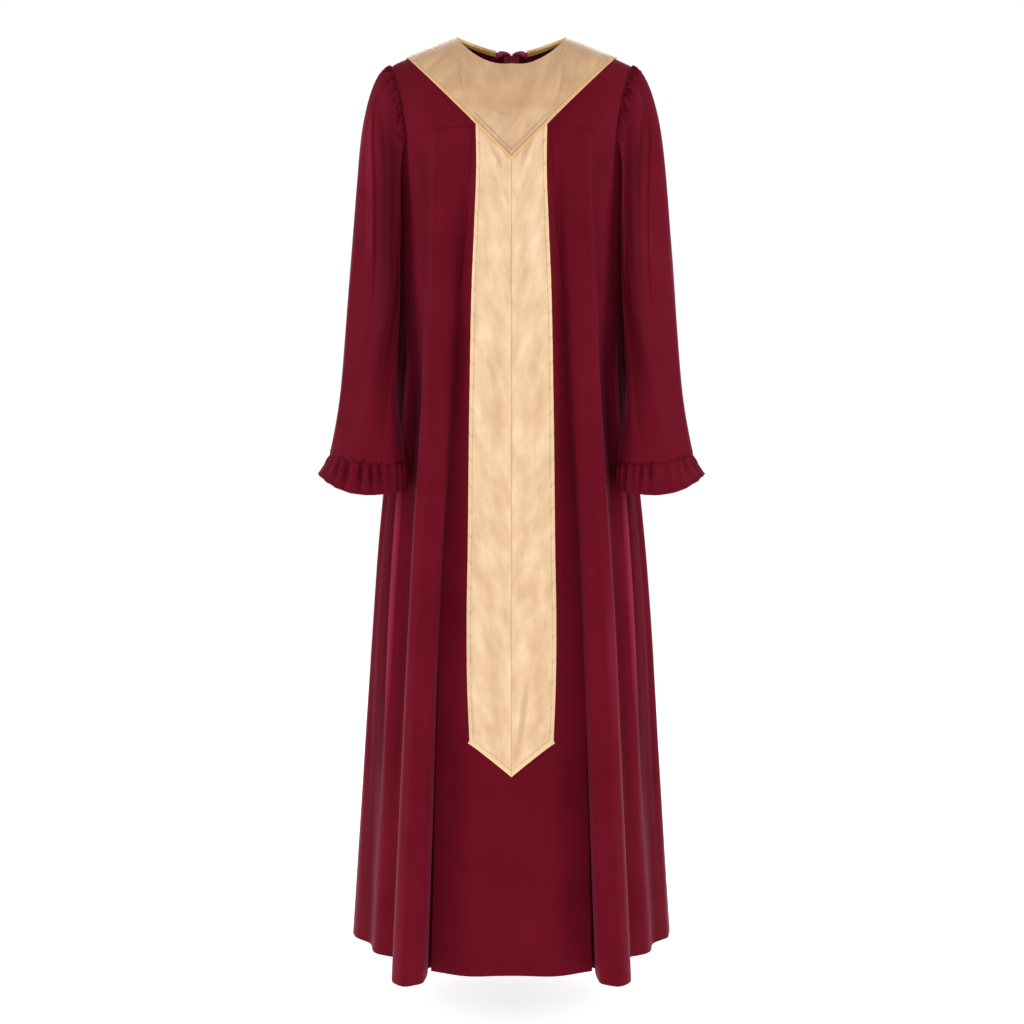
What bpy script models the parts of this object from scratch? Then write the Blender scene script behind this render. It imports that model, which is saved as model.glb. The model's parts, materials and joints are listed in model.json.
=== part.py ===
# Choir robe: V collar, stole panel down the front, gathered sleeves with ruffled cuffs,
# yokes, pleated skirt panels and a zip at the centre back.
# Metres, +Z up. The front faces -Y, and the origin is where the shoulders carry the robe.
import math

import bmesh
import bpy
import numpy as np
from mathutils import Matrix, Vector

for thing in list(bpy.data.objects):
    bpy.data.objects.remove(thing, do_unlink=True)

# Driving sizes of the shoulders and yokes
neckPointZ = 0.025  # where the shoulder seam meets the neck
ridgeY = 0.005  # the shoulder seam runs above this line
neckHalfWidth = 0.0805
neckFrontReach = 0.075  # from the shoulder seam forward to the neck edge
neckBackReach = 0.045
shoulderHalfWidth = 0.180
shoulderRise = 0.0192  # of the shoulder's curve above the neck point, at the centre
shoulderFall = 0.653
shoulderPower = 1.4
chestHalfWidth = 0.187
chestReach = 0.117  # from the shoulder seam's line forward to the yoke seam
backReach = 0.115
planPower = 2.6
archPowers = (1.41, 0.59)  # roundness of the arch at the centre, and what it gains outwards
archPowerX = 0.095  # from here outwards the arch is a plain ellipse
frontSeamZ = -0.1115
frontSeamEndZ = -0.131
frontSeamPower = 3.8  # the yoke seam drops towards the armhole
frontArmX = 0.154  # the armhole's narrowest, front and back
backSeamZ = -0.135
backArmX = 0.158
underarmZ = -0.190
armholeCurve = 0.62
armholeSpread = 1.5
armholeTurns = (0.3, 0.5, 0.7)  # shares of the way round at the yoke seams and the underarm

# Heights at which the skirt's sections are given
elbowZ = -0.425
kneeZ = -0.775
hemZ = -1.352

# Cloth
clothWall = 0.0012
satinWall = 0.0014
seamHalf = 0.0002  # half of the gap between two pieces at a seam
layGap = 0.0009  # between a panel and what lies on it
skirtRows = 18
skirtRowSpread = 1.12  # rows lie closer together near the top
yokeRows = 6
neckSteps = 8  # columns of a yoke from the centre to the shoulder seam
shoulderSteps = 5  # and on to the collar's corner, closer towards it
armSteps = 2  # and on to the armhole
cornerCrowd = 1.6  # how much closer the columns lie towards the collar's corner
underScale = 10  # a place under the yoke seam counts tenths of a metre, downwards from zero

# One row for each line that runs down the skirt, from the centre front round to the centre back:
# its place along the yoke seam, its section at elbow, knee and hem, and the columns to the next
ribColumns = "name topX elbowX elbowY kneeX kneeY hemX hemY steps"
skirtRibs = [
    ("centre_front", 0.000, 0.0000, -0.151, 0.0000, -0.186, 0.0000, -0.221, 2),
    ("stole_side", 0.046, 0.0620, -0.150, 0.0680, -0.184, 0.0780, -0.218, 2),
    ("front_valley", 0.062, 0.0740, -0.126, 0.0950, -0.152, 0.1150, -0.184, 2),
    ("pleat_inner", 0.080, 0.0880, -0.146, 0.1100, -0.192, 0.1360, -0.260, 1),
    ("pleat_crown", 0.096, 0.1060, -0.157, 0.1270, -0.204, 0.1540, -0.270, 1),
    ("pleat_edge", 0.112, 0.1235, -0.148, 0.1425, -0.192, 0.1670, -0.256, 2),
    ("pleat_foot", 0.132, 0.1320, -0.118, 0.1480, -0.124, 0.1760, -0.134, 2),
    ("side_ridge", 0.154, 0.1510, -0.078, 0.1730, -0.087, 0.2050, -0.112, 2),
    ("side_valley", 0.170, 0.1650, -0.052, 0.1925, -0.056, 0.2215, -0.060, 2),
    ("side_swell", 0.181, 0.1755, -0.024, 0.2050, -0.026, 0.2410, -0.028, 2),
    ("side_seam", 0.187, 0.1790, 0.008, 0.2075, 0.010, 0.2490, 0.011, 2),
    ("back_swell", 0.181, 0.1750, 0.042, 0.2030, 0.052, 0.2430, 0.062, 2),
    ("back_side_dip", 0.171, 0.1640, 0.066, 0.1880, 0.078, 0.2220, 0.092, 2),
    ("back_pleat_foot", 0.158, 0.1520, 0.098, 0.1720, 0.122, 0.2020, 0.158, 2),
    ("back_pleat_outer", 0.136, 0.1390, 0.123, 0.1560, 0.160, 0.1840, 0.210, 2),
    ("back_pleat_inner", 0.112, 0.1180, 0.127, 0.1310, 0.166, 0.1520, 0.219, 2),
    ("back_valley", 0.090, 0.0980, 0.106, 0.1100, 0.134, 0.1280, 0.170, 2),
    ("back_rise", 0.066, 0.0760, 0.130, 0.0860, 0.168, 0.1000, 0.216, 2),
    ("back_middle", 0.040, 0.0480, 0.134, 0.0520, 0.173, 0.0580, 0.222, 2),
    ("back_dip", 0.018, 0.0230, 0.128, 0.0250, 0.163, 0.0290, 0.206, 1),
    ("centre_back", 0.000, 0.0000, 0.127, 0.0000, 0.161, 0.0000, 0.203, 0),
]
sideRib = 10
frontArmRib = 7
backArmRib = 13
lastRib = 20

# One row for each section of the sleeve below the armhole
sleeveColumns = "z outerX innerX midY halfDepth lean bend"
sleeveRings = [
    (-0.210, 0.2355, 0.1905, -0.005, 0.085, 0.10, 5.5),
    (-0.375, 0.2470, 0.1835, -0.036, 0.077, 0.22, 4.6),
    (-0.525, 0.2565, 0.1690, -0.092, 0.064, 0.16, 1.5),
    (-0.604, 0.2680, 0.1560, -0.127, 0.055, 0.10, 0.0),
]
# One row for each long fold of the sleeve: turns are shares of the way round from the outer side
# towards the front, and a negative depth is a trough
sleeveFoldColumns = "topTurn endTurn width depth fromZ toZ"
sleeveFolds = [
    (0.105, 0.135, 0.030, -0.0060, -0.070, -0.460),
    (0.045, 0.050, 0.030, 0.0040, -0.120, -0.560),
    (0.185, 0.215, 0.035, 0.0045, -0.160, -0.600),
    (0.290, 0.270, 0.032, -0.0055, -0.230, -0.600),
    (0.400, 0.350, 0.034, 0.0040, -0.300, -0.600),
    (0.900, 0.880, 0.034, -0.0060, -0.090, -0.520),
    (0.800, 0.790, 0.036, 0.0050, -0.150, -0.590),
    (0.700, 0.700, 0.034, -0.0050, -0.240, -0.600),
]
headWaves = 48
headColumns = 24  # of the whole sleeve
headSteps = 4  # for each of these at the gathers, two a wave
gatherDepth = 0.0014
headShares = (0.0, 0.035, 0.100)  # of the way from the armhole to the first ring
capShares = (0.22, 0.38, 0.58, 0.79)
sleeveRowCount = 9
cuffOuterRise = 0.011  # the sleeve's end is higher on the outer side
cuffRisePower = 3
foldFade = 0.7  # a fold rises and dies away along its length
sleeveSeam = 0.00125  # from the armhole's edge to the sleeve's cloth
# The way the cloth leaves the armhole: at the underarm, and what it gains up to the shoulder
headOut = (0.35, 0.50)
headForward = -0.22
headDown = (-0.95, 0.80)
headLead = 0.60  # pull of the head's and the first ring's direction on the cap's curve
headFall = 0.90
ringStep = 0.01
gatherReach = 0.35  # how far round towards the underarm the gathers go
gatherEnd = 0.5  # share of the cap over which they die away
gatherOut = (0.5, 0.9)  # sideways and upward part of the way the gathers stand out

# Cuff ruffle
ruffleHeight = 0.0425
ruffleWaves = 22
ruffleSteps = 4  # columns a wave
ruffleRows = 3
ruffleFlare = 0.0095
ruffleFlareOuter = 0.0078  # more on the outer side, less towards the body
ruffleWave = 0.0046
ruffleWaveOuter = 0.0016
ruffleFlarePower = 1.3
ruffleWavePower = 0.8
ruffleLift = 0.0145  # of its lower edge on the outer side
ruffleLiftPower = 3
ruffleLiftInner = 0.005  # and towards the body
ruffleSeam = 0.0006

# Collar and stole
collarTipZ = -0.163
collarCornerX = 0.1575
collarBackReach = 0.098
cornerLift = 0.0024
cornerBendX = (0.115, 0.140)  # between these the collar bends up to clear the shoulder
stoleUnderX = (0.060, 0.080)  # between these it comes down from the top of the stole
stoleUnderRise = (0.072, 0.092)  # above the collar's point, and likewise
collarBackEdgeX = 0.024
collarDips = (-0.26, -0.52)  # rows of the collar under the yoke seam, in tenths of a metre
tuck = 0.014  # of the stole under the collar
stolePointZ = -1.059
stoleCornerRise = 0.050
# Half width of the stole at each height
stoleWidthColumns = "z halfWidth"
stoleWidths = [
    (-0.110, 0.0520),
    (-0.160, 0.0506),
    (-0.255, 0.0530),
    (-0.335, 0.0562),
    (-0.525, 0.0603),
    (-0.735, 0.0628),
    (-0.825, 0.0643),
    (-0.935, 0.0635),
    (-1.009, 0.0607),
    (-1.100, 0.0595),
]
stoleColumns = 3
stoleTopRise = 0.052
stoleTopDepth = 0.0395  # below the yoke seam, where the rows of the panel take over
stoleTopRows = 4

# Neck band and zip
neckBandHeight = 0.0085
neckBandWall = 0.0010
zipEndZ = -0.520
zipGap = 0.0055  # from the centre back to the cloth's edge along the zip
zipClose = 0.012  # length over which the edges come together below the zip
tapeInner = 0.0012
tapeOuter = 0.0120
tapeWall = 0.0008
tapeGap = 0.0007
tapeStand = 0.0045  # above the neck edge
zipRows = 14
zipRowSpread = 1.6
tapeRunOn = 0.006  # below the end of the zip
sliderDown = 0.0095  # from the neck edge to the middle of the slider
sliderHalfWidth = 0.0042
sliderHalfLength = 0.0060
sliderPlate = 0.0012
sliderWeb = 0.0008  # half width of what joins the two plates
runGap = 0.0005
bridgeHalfWidth = 0.0010
bridgeInnerHalf = 0.0021
bridgeWall = 0.0009
bridgeRoom = 0.0022
bridgeRoot = 0.0003  # of the bridge's feet inside the plate
pullHalfWidth = 0.0030
pullWall = 0.0010
pullBar = 0.0006  # half of the bar that turns in the bridge
pullEyeHalfWidth = 0.0016
pullEyeLength = 0.0036
pullLength = 0.0240
pullCorner = 0.0012
pullNeck = 0.8  # share of its width at the eye
pullNeckEnds = (0.001, 0.003)  # beyond the eye, over which it widens

maroonCloth = (0.147, 0.0056, 0.016)
goldCollar = (0.672, 0.413, 0.231)
goldStole = (0.871, 0.624, 0.376)
goldBand = (0.640, 0.420, 0.160)
zipCloth = (0.110, 0.010, 0.020)
zipMetal = (0.300, 0.060, 0.070)


def named(columns, rows):
    return [dict(zip(columns.split(), row, strict=True)) for row in rows]


ribs = named(ribColumns, skirtRibs)
rings = named(sleeveColumns, sleeveRings)
folds = named(sleeveFoldColumns, sleeveFolds)
widths = named(stoleWidthColumns, stoleWidths)


def smooth(share):
    share = min(max(share, 0.0), 1.0)
    return share * share * (3 - 2 * share)


def through(at, places, values):
    # A smooth curve through values given at places, with its slope from the neighbours
    places = np.asarray(places, float)
    values = np.asarray(values, float)
    if places[0] > places[-1]:
        places = places[::-1]
        values = values[::-1]
    at = min(max(at, places[0]), places[-1])
    k = min(int(np.searchsorted(places, at, side="right")) - 1, len(places) - 2)
    steps = np.diff(places)
    rates = np.diff(values, axis=0) / (steps if values.ndim == 1 else steps[:, None])
    slopes = [rates[0]]
    for i in range(len(rates) - 1):
        slopes.append((rates[i] * steps[i + 1] + rates[i + 1] * steps[i]) / (steps[i] + steps[i + 1]))
    slopes.append(rates[-1])
    s = (at - places[k]) / steps[k]
    return (
        (2 * s**3 - 3 * s**2 + 1) * values[k]
        + (s**3 - 2 * s**2 + s) * steps[k] * slopes[k]
        + (3 * s**2 - 2 * s**3) * values[k + 1]
        + (s**3 - s**2) * steps[k] * slopes[k + 1]
    )


def bisect(low, high, rises):
    # The place between low and high where rises() turns from True to False
    for _ in range(40):
        middle = (low + high) / 2
        if rises(middle):
            low = middle
        else:
            high = middle
    return (low + high) / 2


# The shoulders: an arch from the front yoke seam over the ridge to the back yoke seam

def shoulderZ(x):
    return neckPointZ + shoulderRise - shoulderFall * abs(x) ** shoulderPower


def seamZ(x, side):
    if side > 0:
        return backSeamZ
    share = min(abs(x) / frontArmX, 1.0)
    return frontSeamZ + (frontSeamEndZ - frontSeamZ) * share**frontSeamPower


def planReach(x, side):
    share = min(abs(x) / chestHalfWidth, 1.0)
    reach = backReach if side > 0 else chestReach
    return reach * (1 - share**planPower) ** (1 / planPower)


def archPoint(x, turn, side):
    # turn 0 is the yoke seam and a quarter turn is the ridge; side is -1 in front and 1 behind
    power = 2 / (archPowers[0] + archPowers[1] * min(abs(x) / archPowerX, 1.0) ** 2)
    base = seamZ(x, side)
    across = planReach(x, side) * max(math.cos(turn), 0.0) ** power
    up = (shoulderZ(x) - base) * max(math.sin(turn), 0.0) ** power
    return np.array([x, ridgeY + side * across, base + up])


def armholeX(turn, side):
    narrow = backArmX if side > 0 else frontArmX
    return narrow + (shoulderHalfWidth - narrow) * max(math.sin(turn), 0.0) ** armholeSpread


def neckPoint(round_, side):
    # The neck edge: round_ 0 is the centre and a quarter turn is the shoulder seam.
    # Gives x and the turn of the arch there
    x = neckHalfWidth * math.sin(round_)
    reach = (neckBackReach if side > 0 else neckFrontReach) * math.cos(round_)
    turn = bisect(0.0, math.pi / 2, lambda t: abs(archPoint(x, t, side)[1] - ridgeY) > reach)
    return x, turn


# The skirt: sections through the ribs

def ribPoint(rib, z):
    side = -1 if rib <= sideRib else 1
    row = ribs[rib]
    top = row["topX"]
    armX = backArmX if side > 0 else frontArmX
    places = [seamZ(min(top, armX), side), elbowZ, kneeZ, hemZ]
    spots = [
        (top, ridgeY + side * planReach(top, side)),
        (row["elbowX"], row["elbowY"]),
        (row["kneeX"], row["kneeY"]),
        (row["hemX"], row["hemY"]),
    ]
    return through(z, places, spots)


def skirtPoint(way, z):
    # way counts the ribs from the centre front, 0, round to the centre back
    k = min(max(int(way), 0), lastRib - 1)
    s = way - k
    spots = []
    for rib in (k - 1, k, k + 1, k + 2):
        flip = 1
        if rib < 0:
            rib, flip = -rib, -1
        if rib > lastRib:
            rib, flip = 2 * lastRib - rib, -1
        spot = ribPoint(rib, z)
        spots.append(np.array([flip * spot[0], spot[1]]))
    gaps = [max(np.linalg.norm(spots[i + 1] - spots[i]), 1e-6) for i in range(3)]
    rates = [(spots[i + 1] - spots[i]) / gaps[i] for i in range(3)]
    lead = (rates[0] * gaps[1] + rates[1] * gaps[0]) / (gaps[0] + gaps[1])
    tail = (rates[1] * gaps[2] + rates[2] * gaps[1]) / (gaps[1] + gaps[2])
    spot = (
        (2 * s**3 - 3 * s**2 + 1) * spots[1]
        + (s**3 - 2 * s**2 + s) * gaps[1] * lead
        + (3 * s**2 - 2 * s**3) * spots[2]
        + (s**3 - s**2) * gaps[1] * tail
    )
    return np.array([spot[0], spot[1], z])


def skirtTop(way):
    # The skirt's upper edge: the yoke seams, and the armhole between them
    if way <= frontArmRib:
        return seamZ(skirtPoint(way, frontSeamZ)[0], -1)
    if way >= backArmRib:
        return backSeamZ
    if way <= sideRib:
        share = (way - frontArmRib) / (sideRib - frontArmRib)
        start = frontSeamEndZ
    else:
        share = (backArmRib - way) / (backArmRib - sideRib)
        start = backSeamZ
    return start + (underarmZ - start) * share**armholeCurve


def nearCentre(x, z, side):
    # The skirt at a given distance from the centre line, in front or behind
    if side < 0:
        way = bisect(0.0, 2.0, lambda w: skirtPoint(w, z)[0] < abs(x))
    else:
        way = bisect(lastRib - 2.0, lastRib, lambda w: skirtPoint(w, z)[0] > abs(x))
    spot = skirtPoint(way, z)
    return np.array([x, spot[1], z])


def robePoint(x, down, side):
    # The robe near its centre: down is the arch's turn above the yoke seam, and negative
    # below it
    if down >= 0:
        return archPoint(x, down, side)
    return nearCentre(x, seamZ(x, side) + down / underScale, side)


def turnAtHeight(x, z, side):
    base = seamZ(x, side)
    if z < base:
        return (z - base) * underScale
    return bisect(0.0, math.pi / 2, lambda t: archPoint(x, t, side)[2] < z)


# Meshes

def gridFaces(rows, columns, closed=False, centre=0):
    # Triangles between the points of a grid; before the centre column they are split the other way
    faces = []
    span = columns if closed else columns - 1
    for r in range(rows - 1):
        for c in range(span):
            n = (c + 1) % columns
            a, b = r * columns + c, (r + 1) * columns + c
            d, e = (r + 1) * columns + n, r * columns + n
            faces += [(a, b, e), (b, d, e)] if c < centre else [(a, b, d), (a, d, e)]
    return faces


def pointNormals(points, faces):
    normals = np.zeros_like(points)
    for a, b, c in faces:
        normal = np.cross(points[b] - points[a], points[c] - points[a])
        for i in (a, b, c):
            normals[i] += normal
    return normals / np.maximum(np.linalg.norm(normals, axis=1), 1e-12)[:, None]


def trimmed(grid, sides):
    # Moves the named edges of a grid back along the cloth by half of the seam's gap
    grid = grid.copy()
    for edge in sides:
        near, far = {
            "top": (np.s_[0, :], np.s_[1, :]),
            "bottom": (np.s_[-1, :], np.s_[-2, :]),
            "first": (np.s_[:, 0], np.s_[:, 1]),
            "last": (np.s_[:, -1], np.s_[:, -2]),
        }[edge]
        way = grid[far] - grid[near]
        grid[near] += way / np.linalg.norm(way, axis=1)[:, None] * seamHalf
    return grid


def material(name, colour, roughness, metallic=0.0):
    made = bpy.data.materials.new(name)
    made.use_nodes = True
    shader = made.node_tree.nodes["Principled BSDF"]
    shader.inputs["Base Color"].default_value = (*colour, 1.0)
    shader.inputs["Roughness"].default_value = roughness
    shader.inputs["Metallic"].default_value = metallic
    return made


def solid(name, points, faces, finish):
    mesh = bpy.data.meshes.new(name)
    mesh.from_pydata([tuple(p) for p in points], [], [tuple(f) for f in faces])
    mesh.materials.append(finish)
    mesh.shade_smooth()
    mesh.set_sharp_from_angle(angle=math.radians(50))
    body = bpy.data.objects.new(name, mesh)
    bpy.context.scene.collection.objects.link(body)
    return body


def clothWalls(name, points, faces, wall, finish, lift=0.0, mirrored=False, ridge=False, clear=0.0):
    # A closed wall: the outer face is lift above the points, the inner face is one wall behind it.
    # On the shoulder seam the wall stands upright when ridge is set, and no point comes nearer the
    # centre line than clear
    normals = pointNormals(points, faces)
    if ridge:
        upper = np.abs(points[:, 1] - ridgeY) < 2 * seamHalf
        normals[upper, 1] = 0.0
        normals[upper] /= np.linalg.norm(normals[upper], axis=1)[:, None]
    outer = points + normals * np.reshape(lift, (-1, 1))
    inner = outer - normals * wall
    count = len(points)
    every = list(faces) + [(c + count, b + count, a + count) for a, b, c in faces]
    used = {(face[k], face[(k + 1) % 3]) for face in faces for k in range(3)}
    for a, b in sorted(used):
        if (b, a) not in used:
            every += [(b, a, a + count), (b, a + count, b + count)]
    both = np.vstack([outer, inner])
    if clear:
        both[:, 0] = np.maximum(both[:, 0], clear)
    if mirrored:
        both = both * np.array([-1, 1, 1])
        every = [(c, b, a) for a, b, c in every]
    return solid(name, both, every, finish)


def sheet(name, grid, wall, finish, centre=0, **how):
    rows, columns = grid.shape[:2]
    faces = gridFaces(rows, columns, centre=centre)
    return clothWalls(name, grid.reshape(-1, 3), faces, wall, finish, **how)


def mirroredPair(stem, grid, wall, finish, **how):
    sheet(stem + "_right", grid, wall, finish, **how)
    sheet(stem + "_left", grid, wall, finish, mirrored=True, **how)


# Yokes

def yokeStations(side):
    # Columns across one half of a yoke, from the centre to the armhole: each is the share of the
    # way to the armhole and the turn at which the column ends
    quarter = math.pi / 2
    if side > 0:
        edge = math.asin(collarBackEdgeX / neckHalfWidth)
        rounds = [0.0] + [edge + (quarter - edge) * k / (neckSteps - 1) for k in range(neckSteps)]
    else:
        rounds = [quarter * k / neckSteps for k in range(neckSteps + 1)]
    stations = []
    for round_ in rounds[:-1]:
        x, turn = neckPoint(round_, side)
        stations.append((x / armholeX(turn, side), turn))
    start = neckHalfWidth / shoulderHalfWidth
    corner = collarCornerX / shoulderHalfWidth
    for k in range(shoulderSteps):
        near = 1 - (1 - k / shoulderSteps) ** cornerCrowd
        stations.append((start + (corner - start) * near, quarter))
    stations += [(corner + (1 - corner) * k / armSteps, quarter) for k in range(armSteps + 1)]
    return stations


def yokeTurns(end):
    return [end * (1 - r / yokeRows) for r in range(yokeRows + 1)]


def yokeHalf(side, centreX):
    columns = []
    for share, end in yokeStations(side):
        column = []
        for turn in yokeTurns(end):
            x = max(share * armholeX(turn, side), centreX)
            column.append(archPoint(x, turn, side))
        columns.append(column)
    return np.array(columns).transpose(1, 0, 2)


def bothHalves(half):
    # A grid from the centre outwards, and its mirror image before it
    return np.concatenate([half[:, :0:-1] * np.array([-1, 1, 1]), half], axis=1)


def frontYoke(finish):
    half = yokeHalf(-1, 0.0)
    grid = trimmed(bothHalves(half), ("top", "bottom", "first", "last"))
    sheet("front_yoke", grid, clothWall, finish, centre=half.shape[1] - 1, ridge=True)


def backYokes(finish):
    grid = yokeHalf(1, zipGap)[:, ::-1]
    grid = trimmed(grid, ("top", "bottom", "first"))
    mirroredPair("back_yoke", grid, clothWall, finish, ridge=True)


# Skirt panels

def skirtWays(first, last):
    ways = []
    for rib in range(first, last):
        steps = ribs[rib]["steps"]
        ways += [rib + k / steps for k in range(steps)]
    return ways + [last]


def skirtHeight(top, row):
    return top + (hemZ - top) * (row / skirtRows) ** skirtRowSpread


def skirtColumn(way, edgeX=None):
    top = skirtTop(way)
    column = []
    for r in range(skirtRows + 1):
        z = skirtHeight(top, r)
        if edgeX is None:
            column.append(skirtPoint(way, z))
        else:
            column.append(nearCentre(edgeX(z), z, 1))
    return column


def frontPanel(finish):
    half = np.array([skirtColumn(way) for way in skirtWays(0, sideRib)]).transpose(1, 0, 2)
    grid = trimmed(bothHalves(half), ("top", "first", "last"))
    sheet("front_panel", grid, clothWall, finish, centre=half.shape[1] - 1)


def zipEdge(z):
    # Distance of the back's edge from the centre: open along the zip, closed below it
    return seamHalf + (zipGap - seamHalf) * smooth((z - zipEndZ + zipClose) / zipClose)


def backPanels(finish):
    ways = skirtWays(sideRib, lastRib)[:-1]
    columns = [skirtColumn(way) for way in ways]
    columns.append(skirtColumn(lastRib, zipEdge))
    grid = np.array(columns).transpose(1, 0, 2)
    mirroredPair("back_panel", trimmed(grid, ("top", "first")), clothWall, finish, clear=seamHalf)


# Sleeves

def armholePoint(around):
    # The armhole's edge: 0 is the shoulder, one half is the underarm, and the front comes first
    front, under, back = armholeTurns
    if around <= front:
        turn = math.pi / 2 * (1 - around / front)
        return archPoint(armholeX(turn, -1), turn, -1)
    if around >= back:
        turn = math.pi / 2 * (around - back) / (1 - back)
        return archPoint(armholeX(turn, 1), turn, 1)
    if around <= under:
        way = frontArmRib + (sideRib - frontArmRib) * (around - front) / (under - front)
    else:
        way = sideRib + (backArmRib - sideRib) * (around - under) / (back - under)
    return skirtPoint(way, skirtTop(way))


def foldShift(around, z):
    shift = 0.0
    for fold in folds:
        if fold["toZ"] < z < fold["fromZ"]:
            share = (fold["fromZ"] - z) / (fold["fromZ"] - fold["toZ"])
            turn = fold["topTurn"] + (fold["endTurn"] - fold["topTurn"]) * share
            away = (around - turn + 0.5) % 1.0 - 0.5
            rise = math.sin(math.pi * share) ** foldFade
            shift += fold["depth"] * rise * math.exp(-((away / fold["width"]) ** 2))
    return shift


def ringPoint(around, z):
    heights = [ring["z"] for ring in rings]
    outer, inner, midY, depth, lean, bend = (
        through(z, heights, [ring[key] for ring in rings])
        for key in ("outerX", "innerX", "midY", "halfDepth", "lean", "bend")
    )
    angle = 2 * math.pi * around
    off = -depth * math.sin(angle)
    x = (outer + inner) / 2 + (outer - inner) / 2 * math.cos(angle) + lean * off - bend * off * off
    share = (rings[0]["z"] - z) / (rings[0]["z"] - rings[-1]["z"])
    shift = foldShift(around, z)
    return np.array([
        x + shift * math.cos(angle),
        midY + off - shift * math.sin(angle),
        z + cuffOuterRise * ((1 + math.cos(angle)) / 2) ** cuffRisePower * share**3,
    ])


def headWay(around):
    # The way the sleeve's cloth leaves the armhole: outwards at the shoulder, down at the underarm
    angle = 2 * math.pi * around
    up = (1 + math.cos(angle)) / 2
    across = headOut[0] + headOut[1] * up
    way = np.array([across, headForward * math.sin(angle), headDown[0] + headDown[1] * up])
    return way / np.linalg.norm(way)


def capPoint(around, share):
    way = headWay(around)
    start = armholePoint(around) + way * sleeveSeam
    end = ringPoint(around, rings[0]["z"])
    fall = ringPoint(around, rings[0]["z"] - ringStep) - end
    reach = np.linalg.norm(end - start)
    lead = way * headLead * reach
    tail = fall / np.linalg.norm(fall) * headFall * reach
    s = share
    return (
        (2 * s**3 - 3 * s**2 + 1) * start
        + (s**3 - 2 * s**2 + s) * lead
        + (3 * s**2 - 2 * s**3) * end
        + (s**3 - s**2) * tail
    )


def gather(around, share):
    cap = max(math.cos(2 * math.pi * around) + gatherReach, 0.0) / (1 + gatherReach)
    rise = smooth(share / headShares[1]) * (1 - smooth((share - headShares[1]) / gatherEnd))
    return gatherDepth * math.sqrt(cap) * rise * math.cos(2 * math.pi * headWaves * around)


def sleeve(finish):
    fine = headColumns * headSteps
    rows = []
    for share in headShares:
        row = []
        for c in range(fine):
            around = c / fine
            angle = 2 * math.pi * around
            outer = math.cos(angle)
            up = gatherOut[1] * max(outer, 0.0)
            out = np.array([gatherOut[0] * outer, -math.sin(angle), up])
            out = out / np.linalg.norm(out)
            row.append(capPoint(around, share) + out * gather(around, share))
        rows.append(row)
    points = [p for row in rows for p in row]
    faces = gridFaces(len(rows), fine, closed=True)
    coarse = []
    for share in capShares:
        coarse.append([capPoint(c / headColumns, share) for c in range(headColumns)])
    for r in range(sleeveRowCount + 1):
        z = rings[0]["z"] + (rings[-1]["z"] - rings[0]["z"]) * r / sleeveRowCount
        coarse.append([ringPoint(c / headColumns, z) for c in range(headColumns)])
    base = len(points)
    points += [p for row in coarse for p in row]
    lastFine = (len(rows) - 1) * fine
    for c in range(headColumns):
        n = (c + 1) % headColumns
        upper = [lastFine + (c * headSteps + k) % fine for k in range(headSteps + 1)]
        faces += [(upper[0], base + c, upper[1]), (upper[1], base + c, upper[2])]
        faces.append((upper[2], base + c, base + n))
        faces += [(upper[2], base + n, upper[3]), (upper[3], base + n, upper[4])]
    for face in gridFaces(len(coarse), headColumns, closed=True):
        faces.append(tuple(i + base for i in face))
    # The order runs from the outer side to the front, so the faces are turned to point outwards
    faces = [(c, b, a) for a, b, c in faces]
    clothWalls("sleeve_right", np.array(points), faces, clothWall, finish)
    clothWalls("sleeve_left", np.array(points), faces, clothWall, finish, mirrored=True)


def rufflePoint(around, share):
    angle = 2 * math.pi * around
    outer = math.cos(angle)
    out = np.array([math.cos(angle), -math.sin(angle), 0.0])
    flare = (ruffleFlare + ruffleFlareOuter * outer) * share**ruffleFlarePower
    wave = (ruffleWave + ruffleWaveOuter * outer) * share**ruffleWavePower
    lip = wave * math.cos(2 * math.pi * ruffleWaves * around)
    seam = ringPoint(around, rings[-1]["z"])
    lift = ruffleLift * max(outer, 0.0) ** ruffleLiftPower + ruffleLiftInner * max(-outer, 0.0)
    fall = ruffleSeam + (ruffleHeight - lift) * share
    return seam + out * (flare + lip) - np.array([0, 0, fall])


def ruffle(finish):
    columns = ruffleWaves * ruffleSteps
    points = []
    for r in range(ruffleRows + 1):
        points += [rufflePoint(c / columns, r / ruffleRows) for c in range(columns)]
    faces = [(c, b, a) for a, b, c in gridFaces(ruffleRows + 1, columns, closed=True)]
    clothWalls("cuff_ruffle_right", np.array(points), faces, clothWall, finish)
    clothWalls("cuff_ruffle_left", np.array(points), faces, clothWall, finish, mirrored=True)


# Collar

def withinCollar(x, down, side):
    # The collar's edge is a V seen from the front, and a slanting line seen from above behind
    spot = robePoint(x, down, side)
    if side > 0:
        return (spot[1] - ridgeY) / collarBackReach + x / collarCornerX < 1
    return spot[2] > collarTipZ + (shoulderZ(collarCornerX) - collarTipZ) * x / collarCornerX


def collarColumns(side):
    # The collar's columns are the yoke's own, from the neck down to the collar's slanting edge
    columns = []
    for share, end in yokeStations(side)[: neckSteps + shoulderSteps + 1]:
        lowest = -bisect(
            -end,
            -1.5 * min(collarDips),
            lambda t, share=share: withinCollar(share * armholeX(max(-t, 0.0), side), -t, side),
        )
        if end - lowest < 1e-4:
            lowest = end
        levels = [max(down, lowest) for down in (*yokeTurns(end), *collarDips)]
        columns.append([(share * armholeX(max(down, 0.0), side), down) for down in levels])
    return columns


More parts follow.
